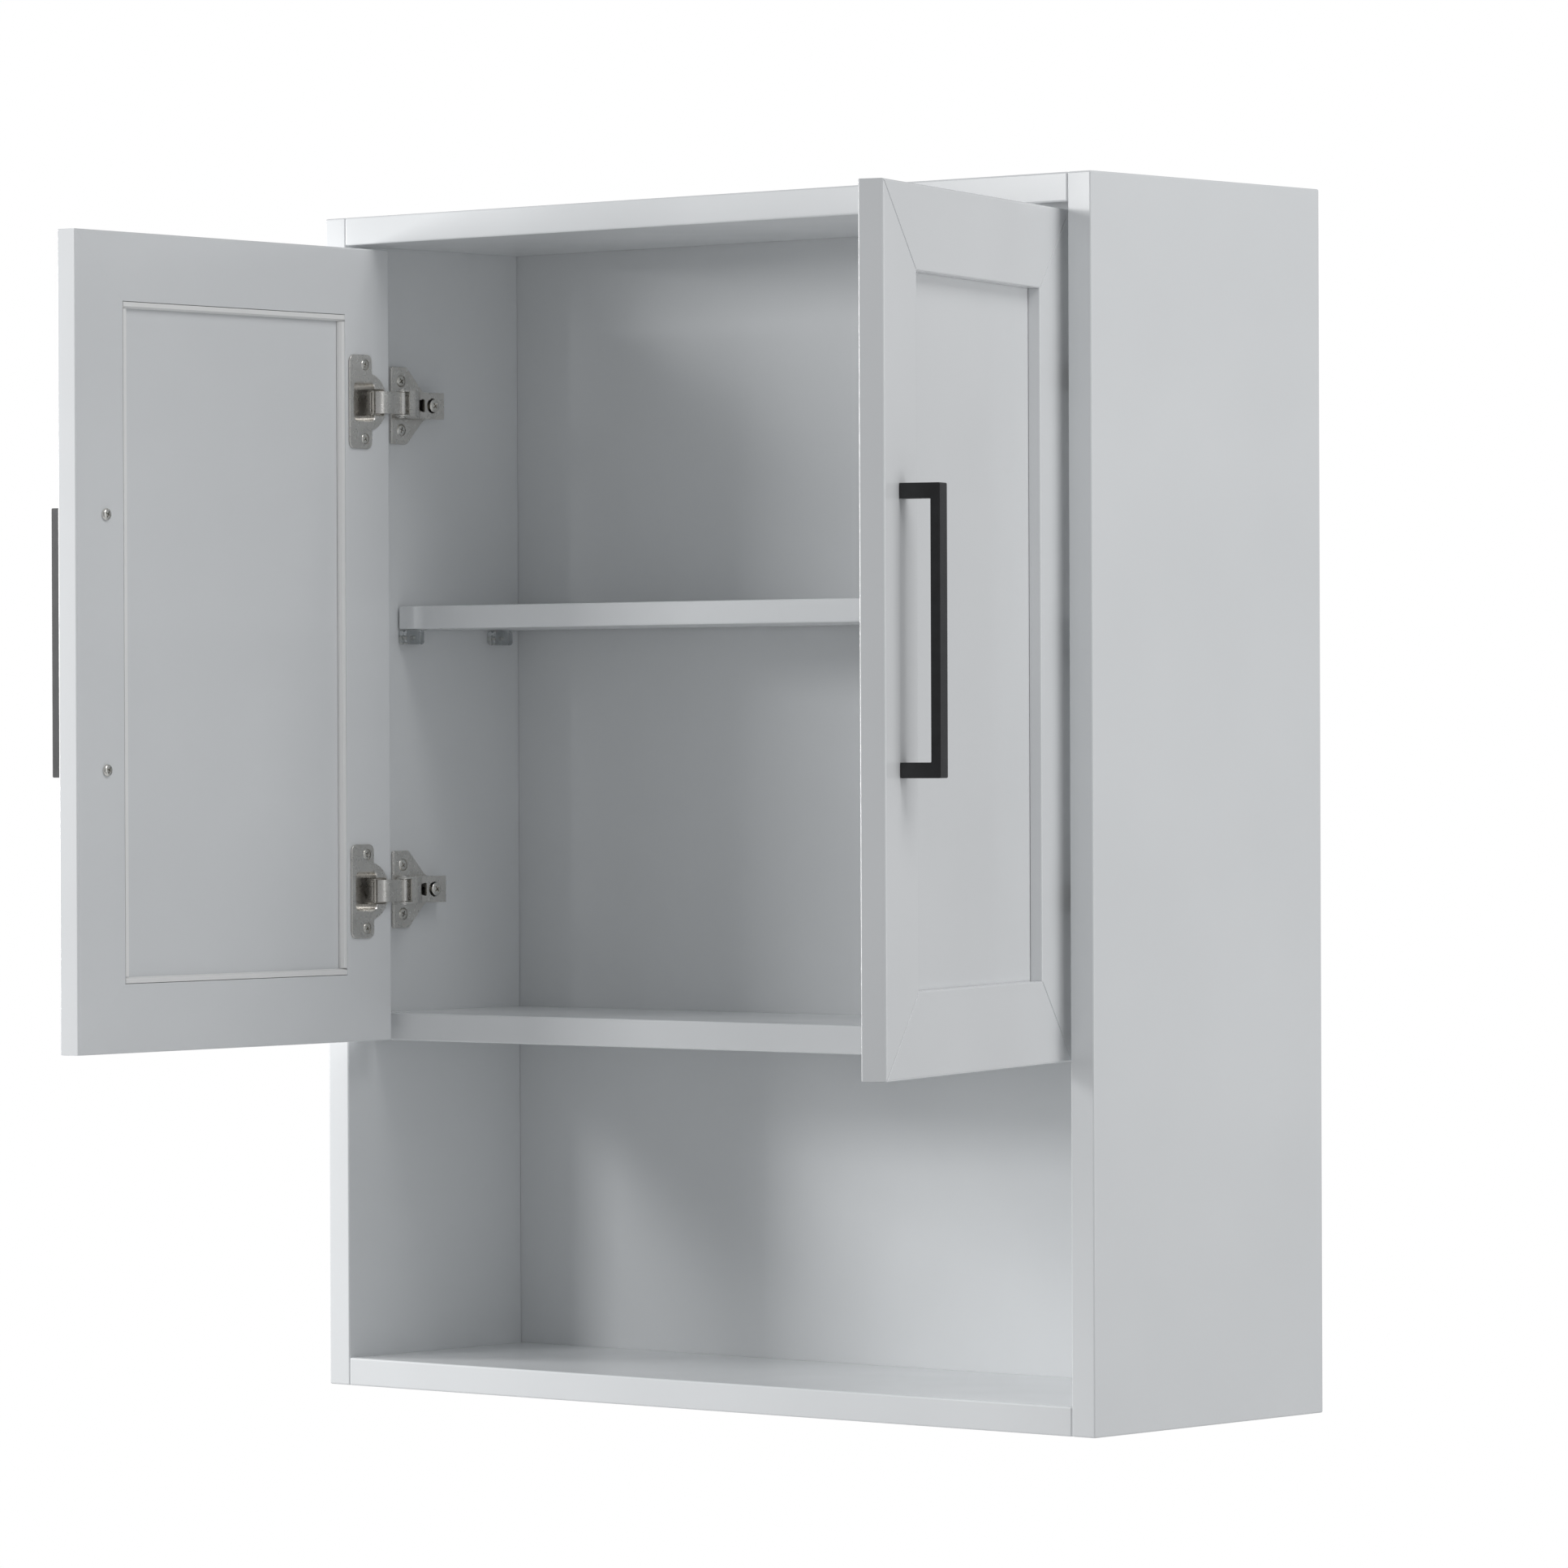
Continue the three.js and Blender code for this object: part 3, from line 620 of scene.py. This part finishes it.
def add_door_frame(door):
    """The four mitred members, bored for the hinge cups and the handle's screws."""
    bore_floor = DOOR_THICKNESS - CUP_DEPTH - GAP
    past_rear = DOOR_THICKNESS + 1
    handle_e = DOOR_WIDTH - HANDLE_FROM_FREE_EDGE
    bores = [
        rod("y", CUP_RADIUS + GAP, bore_floor, past_rear, CUP_FROM_EDGE, cup_height(level))
        for level in LEVELS
    ]
    holes = [
        rod("y", HANDLE_SCREW_BORE, -1, past_rear, handle_e, z, steps=24)
        for z in handle_screw_heights()
    ]
    members = {
        "hinge_stile": cut(stile_mesh(0), *bores),
        "free_stile": cut(stile_mesh(DOOR_WIDTH), *holes),
        "bottom_rail": rail_mesh(0),
        "top_rail": rail_mesh(DOOR_HEIGHT),
    }
    for member, mesh in members.items():
        node = f"{door.name}_{member}"
        door.add(f"{node}_board", mesh, "door_paint", node)


def bead_section():
    """Section of a glazing bead, as (distance from the frame, y), with a sloping inner face."""
    front = RECESS + PANEL + 2 * GAP
    points = [
        (0, front),
        (BEAD, front),
        (BEAD, front + BEAD_LIP),
        (BEAD_CREST, DOOR_THICKNESS),
        (0, DOOR_THICKNESS),
    ]
    return rounded(points, [0, 0.2, 0.4, 0.5, 0.4])


def add_beads(door):
    """The panel stays as it is; four beads hold it in the rabbet."""
    dress_node(f"{door.name}_panel", "panel_paint")
    ledge = MEMBER - RABBET + GAP
    far_e = DOOR_WIDTH - ledge
    far_z = DOOR_HEIGHT - ledge
    section = bead_section()
    side_ends = (ledge + BEAD + GAP, far_z - BEAD - GAP)
    beads = {
        "bead_bottom": [[(s, y, ledge + w) for w, y in section] for s in (ledge, far_e)],
        "bead_top": [[(s, y, far_z - w) for w, y in section] for s in (ledge, far_e)],
        "bead_hinge_side": [[(ledge + w, y, s) for w, y in section] for s in side_ends],
        "bead_free_side": [[(far_e - w, y, s) for w, y in section] for s in side_ends],
    }
    for bead, rings in beads.items():
        node = f"{door.name}_{bead}"
        # The beads take the whiter lacquer, whose tone carries some painted highlight.
        door.add(f"{node}_strip", loft(rings), "bead_paint", node)


# A cross recess, in shares of its reach: half the width of a blade, and the blade's half length
# above the screw's head and at the bottom.
BLADE_WIDTH = 0.2
BLADE_TOP = 1.15
BLADE_TIP = 0.45

# The dome of a screw's head, as (share of the radius, share of the height).
HEAD_DOME = [(1, 0.35), (0.93, 0.62), (0.74, 0.86), (0.4, 0.97)]


def cross_recess(axis, u, v, face, depth, reach, turn):
    """Cutters for a cross recess: two tapered blades that cross on the screw's axis."""
    blades = []
    direction = 1 if depth > 0 else -1
    for quarter in (0, 90):
        angle = math.radians(turn + quarter)
        along = Vector((math.cos(angle), math.sin(angle)))
        aside = Vector((-along.y, along.x)) * reach * BLADE_WIDTH
        rings = []
        for share, w in ((BLADE_TOP, face - direction * 0.4), (BLADE_TIP, face + depth)):
            corners = [
                along * reach * share + aside,
                -along * reach * share + aside,
                -along * reach * share - aside,
                along * reach * share - aside,
            ]
            rings.append([on_axis(axis, u + c.x, v + c.y, w) for c in corners])
        blades.append(loft(rings))
    return blades


def screw_mesh(axis, u, v, seat, turn, head_radius, head_height, shank_radius, tip):
    """A cross-recessed screw. The head stands on seat, with its recess turned by so many degrees,
    and the shank runs from there to tip."""
    out = 1 if tip < seat else -1
    top = seat + out * head_height
    profile = [
        (0, tip),
        (shank_radius * 0.7, tip),
        (shank_radius, tip + out * 0.6),
        (shank_radius, seat),
        (head_radius, seat),
        *((head_radius * across, seat + out * head_height * up) for across, up in HEAD_DOME),
        (0, top),
    ]
    recess = cross_recess(axis, u, v, top, -out * (head_height * 0.5 + 1.1), head_radius * 0.55, turn)
    return cut(lathe(profile, axis, u, v), *recess)


HANDLE_THREAD_DEPTH = 10
HANDLE_SCREW = {"head_radius": 3.8, "head_height": 2.0, "shank_radius": 2.0, "tip": -8}


def add_handle(door):
    """A squared bar handle with two legs, held by two screws from behind."""
    base = -GAP
    outer = base - HANDLE_PROJECTION
    inner = outer + HANDLE_BAR
    low = (DOOR_HEIGHT - HANDLE_LENGTH) / 2
    high = low + HANDLE_LENGTH
    outline = rounded(
        [
            (base, low),
            (outer, low),
            (outer, high),
            (base, high),
            (base, high - HANDLE_LEG),
            (inner, high - HANDLE_LEG),
            (inner, low + HANDLE_LEG),
            (base, low + HANDLE_LEG),
        ],
        [0, 0.8, 0.8, 0, 0, 0.5, 0.5, 0],
        steps=3,
    )
    centre = DOOR_WIDTH - HANDLE_FROM_FREE_EDGE
    across = (centre - HANDLE_WIDTH / 2, centre + HANDLE_WIDTH / 2)
    bar = prism(outline, "x", *across, ease=0.45, segments=3)
    heights = handle_screw_heights()
    thread = (base - HANDLE_THREAD_DEPTH, base + 1)
    threads = [rod("y", HANDLE_SCREW_BORE, *thread, centre, z, steps=24) for z in heights]
    node = f"handle_{door.side_name}"
    door.add(f"{node}_bar", cut(bar, *threads), "black_metal", node)
    for level, z in zip(LEVELS, heights):
        screw = screw_mesh("y", centre, z, DOOR_THICKNESS + GAP, 25, **HANDLE_SCREW)
        node = f"handle_screw_{door.side_name}_{level}"
        door.add(f"{node}_turned", screw, "zinc_steel", node)


# ------------------------------------------------------------------ hinges

# The flange, pocket and notch of a hinge cup, as (nearest e, farthest e, half height, corner).
FLANGE = (18.5, 40.5, 30.5, 4.5)
POCKET = (15.5, 36, 12, 3)
NOTCH = (6.5, 20, 8.6, 1.5)
CUP_SHEET = 0.6
CUP_RIM_HEIGHT = 0.9
MOUTH_SPREAD = 1.2
CUP_SCREW_SINK = 3.7
CUP_SCREW_HOLE = 2.4
CUP_SCREW = {"head_radius": 3.4, "head_height": 0.9, "shank_radius": 1.8, "tip": 4}


def cup_outline(area, z, spread=0.0):
    """One of the cup's rectangles at the height z, grown by spread all round."""
    near, far, half, corner = area
    half += spread
    return rounded_rectangle(near - spread, far + spread, z - half, z + half, corner + spread)


def cup_shell_mesh(z, floor, seat):
    """The drawn cup: a rounded floor, straight walls and a rim with an eased edge."""
    top = seat + CUP_RIM_HEIGHT
    under_rim = seat - 0.1
    profile = [
        (0, floor),
        (CUP_RADIUS - 2.2, floor),
        (CUP_RADIUS - 0.7, floor + 0.6),
        (CUP_RADIUS, floor + 2.2),
        (CUP_RADIUS, under_rim),
        (CUP_RIM, under_rim),
        (CUP_RIM, top - 0.4),
        (CUP_RIM - 0.4, top),
        (0, top),
    ]
    return lathe(profile, "y", CUP_FROM_EDGE, z, steps=96)


def add_cup(door, level):
    """The drawn cup in the hinge stile: flange, round rim, pocket and its two screws."""
    z = cup_height(level)
    seat = DOOR_THICKNESS + GAP
    face = seat + CUP_FLANGE
    floor = DOOR_THICKNESS - CUP_DEPTH
    depth = (floor + CUP_SHEET, face + 1)
    plate = prism(cup_outline(FLANGE, z), "y", seat, face, ease=0.45, segments=3)
    mouth = loft([
        [(e, w, v) for e, v in cup_outline(POCKET, z, spread)]
        for spread, w in ((0, face - 0.9), (MOUTH_SPREAD, face + 0.3))
    ])
    heights = [z + sign * CUP_SCREW_SPACING / 2 for sign in (1, -1)]
    cup = cut(
        join(cup_shell_mesh(z, floor, seat), plate),
        prism(cup_outline(POCKET, z), "y", *depth),
        mouth,
        prism(cup_outline(NOTCH, z), "y", *depth),
        *(rod("y", CUP_SCREW_SINK, face - 0.7, face + 1, CUP_SCREW_FROM_EDGE, h) for h in heights),
        *(rod("y", CUP_SCREW_HOLE, seat - 1, face + 1, CUP_SCREW_FROM_EDGE, h) for h in heights),
    )
    node = f"hinge_cup_{door.side_name}_{level}"
    door.add(f"{node}_shell", cup, "nickel", node)
    for place_name, h, turn in zip(LEVELS, heights, (20, 55)):
        screw = screw_mesh("y", CUP_SCREW_FROM_EDGE, h, face - 0.6, turn, **CUP_SCREW)
        door.add(f"{node}_screw_{place_name}", screw, "zinc_steel")


# The link's centre line with the door closed, from the arm's pivot round the cup's rim to the
# link's own pin in the cup, as (x, y) in hinge coordinates less the pivot's.
LINK_LINE = [(0, 0), (-2.8, -8), (-4.6, -13.8), (-6.8, -17.7), (-10.8, -19.7), (-13.2, -18.9), (-15, -16)]


def smooth_line(points, steps):
    """A Catmull-Rom curve through the points, as (point, direction) pairs."""
    knots = [Vector(p) for p in points]
    knots = [2 * knots[0] - knots[1], *knots, 2 * knots[-1] - knots[-2]]
    line = []
    for step in range(steps + 1):
        place = (len(points) - 1) * step / steps
        i = min(int(place), len(points) - 2)
        t = place - i
        a, b, c, d = knots[i:i + 4]
        linear = c - a
        square = 2 * a - 5 * b + 4 * c - d
        cubic = 3 * b - a - 3 * c + d
        point = 0.5 * (2 * b + linear * t + square * t**2 + cubic * t**3)
        slope = 0.5 * (linear + 2 * square * t + 3 * cubic * t**2)
        line.append((point, slope.normalized()))
    return line


LINK_STEPS = 36
LINK_EYE_RADIUS = 2.6
LINK_ROLL_RADIUS = 1.8
CUP_PIN_RADIUS = 1.2
CUP_PIN_REACH = 8.1


def link_mesh():
    """A bent strip with an eye at the arm's pin, and rolled round its own pin at the cup."""
    half = LINK_THICKNESS / 2
    line = smooth_line(LINK_LINE, LINK_STEPS)
    left = [(p.x - d.y * half, p.y + d.x * half) for p, d in line]
    right = [(p.x + d.y * half, p.y - d.x * half) for p, d in line]
    strip = prism(left + right[::-1], "z", -LINK_HALF_WIDTH, LINK_HALF_WIDTH, ease=0.2)
    roll_width = LINK_HALF_WIDTH - 0.5
    return cut(
        join(
            strip,
            rod("z", LINK_EYE_RADIUS, -LINK_HALF_WIDTH, LINK_HALF_WIDTH, 0, 0, ease=0.3),
            rod("z", LINK_ROLL_RADIUS, -roll_width, roll_width, *LINK_LINE[-1], ease=0.2),
        ),
        rod("z", PIN_BORE, -10, 10, 0, 0),
    )


def add_link(side_name, level):
    joint = joints[f"hinge_link_{side_name}_{level}_pivot"]
    side = SIDES[side_name]
    coupling = next(c for c in frame["record"]["behaviour"]["couplings"] if c["joint"] == joint["name"])
    open_angle = -math.radians(joints[coupling["follows"]]["range_deg"][0])
    turn = Matrix.Rotation(side * coupling["ratio"] * open_angle, 4, "Z")
    mirror = Matrix.Diagonal((-side, 1, 1, 1))
    place = Matrix.Translation(joint["pos_m"]) @ turn @ mirror
    node = f"hinge_link_{side_name}_{level}"
    add_piece(f"{node}_strip", link_mesh(), place, joint["child"], "nickel", node)
    pin = rod("z", CUP_PIN_RADIUS, -CUP_PIN_REACH, CUP_PIN_REACH, *LINK_LINE[-1], ease=0.4)
    add_piece(f"{node}_cup_pin", pin, place, joint["child"], "zinc_steel")


# Outlines of the cranked arm and of the hollow inside it, as (x, y) in hinge coordinates.
ARM_PIVOT = (26.5, 25.4)
ARM_END = 80
ARM_OUTLINE = [
    (22.3, 25.4), (22.6, 30), (9, 48), (7, 54), (7, ARM_END), (13, ARM_END), (13, 56.5), (15, 53.5),
    (28, 40), (30.7, 34), (30.7, 25.4),
]
ARM_OUTLINE_RADII = [0, 6, 8, 4, 0.5, 0.5, 4, 3, 5, 4, 0]
ARM_HOLLOW = [
    (-5, 10), (29.5, 10), (29.5, 33.7), (27, 39.4), (14, 52.9), (11.8, 56.2), (11.8, 90), (-5, 90),
]
ARM_HOLLOW_RADII = [0, 0, 3.2, 4, 2.5, 3.4, 0, 0]
EAR_RADIUS = 4.2
EAR_GAP_X = (16.5, 36.5)  # between the ears the arm is open in front, for the link
EAR_GAP_Y = (10, 28.5)
FLAT_TOP = 13  # the outer face of the arm's flat rear part
THROUGH_FLAT = (8, 20)
WINDOW = [(55.5, -3.4), (61.4, -4.6), (61.4, 4.6), (55.5, 3.4)]  # as (y, z), in the flat part
FIXING_HOLE_Y = 68.4
FIXING_HOLE_RADIUS = 4.9
FIXING_SCREW = {"head_radius": 4.3, "head_height": 1.4, "shank_radius": 2.2, "tip": 6}


def side_place(side_name, level):
    """Hinge coordinates: x is the distance from the side panel's inner face, z from the hinge's middle."""
    side = SIDES[side_name]
    corner = CASE_ORIGIN + Vector((side * INNER_X, 0, hinge_height(level))) * MM
    return Matrix.Translation(corner) @ Matrix.Diagonal((-side, 1, 1, 1))


ADJUSTER_AXIS = (8.2, 56.8)
ADJUSTER_RADIUS = 2.6
ADJUSTER_HALF_LENGTH = 4
THREAD_PITCH = 1
THREAD_DEPTH = 0.5


def adjusting_screw_mesh():
    """The threaded screw that lies across the hollow under the window."""
    root = ADJUSTER_RADIUS - THREAD_DEPTH
    tip = ADJUSTER_HALF_LENGTH + 0.2
    profile = [(0, -tip)]
    for turn in range(2 * ADJUSTER_HALF_LENGTH // THREAD_PITCH):
        w = turn * THREAD_PITCH - ADJUSTER_HALF_LENGTH
        profile += [(root, w), (ADJUSTER_RADIUS, w + THREAD_PITCH / 2)]
    profile += [(root, ADJUSTER_HALF_LENGTH), (0, tip)]
    return lathe(profile, "z", *ADJUSTER_AXIS, steps=32)


def add_arm(side_name, level):
    """The cranked arm: a channel with ears for the link's pin, a window and a wide hole round the
    fixing screw."""
    place = side_place(side_name, level)
    node = f"hinge_arm_{side_name}_{level}"
    outside = (-ARM_HALF_WIDTH, ARM_HALF_WIDTH)
    inside = (ARM_WALL - ARM_HALF_WIDTH, ARM_HALF_WIDTH - ARM_WALL)
    body = prism(rounded(ARM_OUTLINE, ARM_OUTLINE_RADII, 4), "z", *outside, ease=0.5)
    ears = rod("z", EAR_RADIUS, *outside, *ARM_PIVOT, ease=0.5)
    arm = cut(
        join(body, ears),
        prism(rounded(ARM_HOLLOW, ARM_HOLLOW_RADII, 4), "z", *inside),
        slab(EAR_GAP_X, EAR_GAP_Y, inside, ease=0),
        rod("z", PIN_BORE, -12, 12, *ARM_PIVOT),
        prism(rounded(WINDOW, [1.2] * 4, 3), "x", *THROUGH_FLAT),
        rod("x", FIXING_HOLE_RADIUS, *THROUGH_FLAT, FIXING_HOLE_Y, 0),
    )
    add_piece(f"{node}_channel", arm, place, "root", "nickel", node)
    fixing = screw_mesh("x", FIXING_SCREW_Y, 0, FLAT_TOP, 40, **FIXING_SCREW)
    add_piece(f"{node}_fixing_screw", fixing, place, "root", "zinc_steel")
    add_piece(f"{node}_adjusting_screw", adjusting_screw_mesh(), place, "root", "zinc_steel")


RIVET_RADIUS = 2.4
RIVET_HEIGHT = 0.8


def add_pin(side_name, level):
    """The riveted pin that the link turns on, with domed heads outside the arm's ears."""
    shoulder = ARM_HALF_WIDTH + GAP
    end = shoulder + RIVET_HEIGHT
    half = [
        (PIN_RADIUS, shoulder),
        (RIVET_RADIUS, shoulder),
        (RIVET_RADIUS, shoulder + 0.3),
        (RIVET_RADIUS - 0.4, end - 0.15),
        (RIVET_RADIUS / 2, end),
        (0, end),
    ]
    profile = [(radius, -w) for radius, w in reversed(half)] + half
    node = f"hinge_pin_{side_name}_{level}"
    mesh = lathe(profile, "z", *ARM_PIVOT, steps=32)
    add_piece(f"{node}_rivet", mesh, side_place(side_name, level), "root", "zinc_steel", node)


# The wing plate's outline as (y, z), and the block that the arm sits over, which is hollow under
# the arm's window.
PLATE_OUTLINE = [
    (41, -25.4), (55.5, -25.4), (70.5, -10), (74.5, -8), (74.5, 8), (70.5, 10), (55.5, 25.4), (41, 25.4),
]
PLATE_OUTLINE_RADII = [1.2, 3, 4, 1, 1, 4, 3, 1.2]
PLATE_FACE = 2.3
BLOCK_TOP = 11.3
BLOCK_Y = (44, 77)
BLOCK_Z = (-6.8, 6.8)
HOLLOW_X = (4, 12)
HOLLOW_Y = (54.2, 62.4)
HOLLOW_Z = (-4.7, 4.7)
PLATE_SCREW_SINK = 4.1
PLATE_SCREW_HOLE = 2.5
PLATE_SCREW = {"head_radius": 3.8, "head_height": 1.2, "shank_radius": 2.0, "tip": 0.31}


def add_mounting_plate(side_name, level):
    """The wing plate on the side panel, its raised block and its two screws."""
    place = side_place(side_name, level)
    node = f"hinge_plate_{side_name}_{level}"
    outline = rounded(PLATE_OUTLINE, PLATE_OUTLINE_RADII, 4)
    wings = prism(outline, "x", GAP, PLATE_FACE, ease=0.5, segments=3)
    block = slab((1, BLOCK_TOP), BLOCK_Y, BLOCK_Z, ease=0.5, segments=2)
    heights = [sign * PLATE_SCREW_SPACING / 2 for sign in (1, -1)]
    plate = cut(
        join(wings, block),
        *(rod("x", PLATE_SCREW_SINK, PLATE_FACE - 0.8, 4, PLATE_SCREW_Y, z) for z in heights),
        *(rod("x", PLATE_SCREW_HOLE, -1, 4, PLATE_SCREW_Y, z) for z in heights),
        slab(HOLLOW_X, HOLLOW_Y, HOLLOW_Z, ease=0),
        rod("x", FIXING_SCREW_BORE, *HOLLOW_X, FIXING_SCREW_Y, 0, steps=24),
    )
    add_piece(f"{node}_wings", plate, place, "root", "nickel", node)
    for place_name, z, turn in zip(LEVELS, heights, (35, 70)):
        screw = screw_mesh("x", PLATE_SCREW_Y, z, PLATE_FACE - 0.7, turn, **PLATE_SCREW)
        add_piece(f"{node}_screw_{place_name}", screw, place, "root", "zinc_steel")


# ------------------------------------------------------------------ stage, light and camera

FLOOR_DROP = 1.35  # metres from the cabinet's underside to the floor
FLOOR_RADIUS = 10.0


def add_floor():
    material = new_material("pale_floor", {"Roughness": 0.7})
    vary_color(material, add_noise(material, 2), (0.84, 0.84, 0.84), (0.88, 0.88, 0.88))
    build = bmesh.new()
    bmesh.ops.create_circle(build, cap_ends=True, segments=96, radius=FLOOR_RADIUS)
    mesh = bpy.data.meshes.new("floor")
    build.to_mesh(mesh)
    build.free()
    mesh.materials.append(material)
    floor = bpy.data.objects.new("floor", mesh)
    floor.location.z = cad_low.z - FLOOR_DROP
    bpy.context.scene.collection.objects.link(floor)


def add_area_light(name, place, target, size, watts):
    data = bpy.data.lights.new(name, "AREA")
    data.size = size
    data.energy = watts
    light = bpy.data.objects.new(name, data)
    light.location = place
    light.rotation_mode = "QUATERNION"
    light.rotation_quaternion = (Vector(target) - Vector(place)).to_track_quat("-Z", "Y")
    bpy.context.scene.collection.objects.link(light)


# Softboxes: bearing from straight in front (to the right is positive) and height, in degrees, then
# distance and size in metres, and power in watts.
LIGHTS = {
    "key": (-66, 4, 2.4, 0.7, 38),
    "front_fill": (-30, 18, 2.4, 0.5, 13),
    "right_high": (86, 48, 2.8, 1.4, 22),
    "right_low": (110, 0, 2.8, 1.4, 13),
}


def add_lights():
    middle = (cad_low + cad_high) / 2
    for name, (bearing, height, distance, size, watts) in LIGHTS.items():
        bearing, height = math.radians(bearing), math.radians(height)
        level = math.cos(height)
        direction = Vector((math.sin(bearing) * level, -math.cos(bearing) * level, math.sin(height)))
        add_area_light(name, middle + direction * distance, middle, size, watts)


SKY_COLOR = (0.305, 0.312, 0.32)
BACKDROP_COLOR = (1.0, 1.0, 1.0)


def add_world():
    """A white backdrop round the object, which lights it more gently than it looks."""
    world = bpy.data.worlds.new("studio")
    bpy.context.scene.world = world
    world.use_nodes = True
    nodes, links = world.node_tree.nodes, world.node_tree.links
    sky = nodes["Background"]
    sky.inputs["Color"].default_value = (*SKY_COLOR, 1)
    backdrop = nodes.new("ShaderNodeBackground")
    backdrop.inputs["Color"].default_value = (*BACKDROP_COLOR, 1)
    path = nodes.new("ShaderNodeLightPath")
    mix = nodes.new("ShaderNodeMixShader")
    links.new(path.outputs["Is Camera Ray"], mix.inputs["Fac"])
    links.new(sky.outputs["Background"], mix.inputs[1])
    links.new(backdrop.outputs["Background"], mix.inputs[2])
    links.new(mix.outputs["Shader"], nodes["World Output"].inputs["Surface"])


# The camera stands to the right of the cabinet, level with its middle and about 5 m away.
CAMERA_PLACE = (3.2398, -3.8894, -0.2905)
CAMERA_YAW = 40.84
CAMERA_PITCH = -0.36
CAMERA_ROLL = -0.22
CAMERA_LENS = 178.86
CAMERA_SENSOR = 36.0


def add_camera():
    data = bpy.data.cameras.new("camera")
    data.lens = CAMERA_LENS
    data.sensor_width = CAMERA_SENSOR
    camera = bpy.data.objects.new("camera", data)
    yaw = Matrix.Rotation(math.radians(CAMERA_YAW), 4, "Z")
    pitch = Matrix.Rotation(math.radians(90 + CAMERA_PITCH), 4, "X")
    roll = Matrix.Rotation(math.radians(CAMERA_ROLL), 4, "Z")
    camera.matrix_world = Matrix.Translation(CAMERA_PLACE) @ yaw @ pitch @ roll
    bpy.context.scene.collection.objects.link(camera)
    bpy.context.scene.camera = camera


# ------------------------------------------------------------------ the whole cabinet

add_camera()
add_boards()
add_hanging_rails()
add_shelf_pins()
for side_name in SIDES:
    door = Door(side_name)
    add_door_frame(door)
    add_beads(door)
    add_handle(door)
    for level in LEVELS:
        add_cup(door, level)
        add_link(side_name, level)
        add_arm(side_name, level)
        add_pin(side_name, level)
        add_mounting_plate(side_name, level)
add_floor()
add_lights()
add_world()
bpy.context.scene.view_settings.view_transform = "Standard"
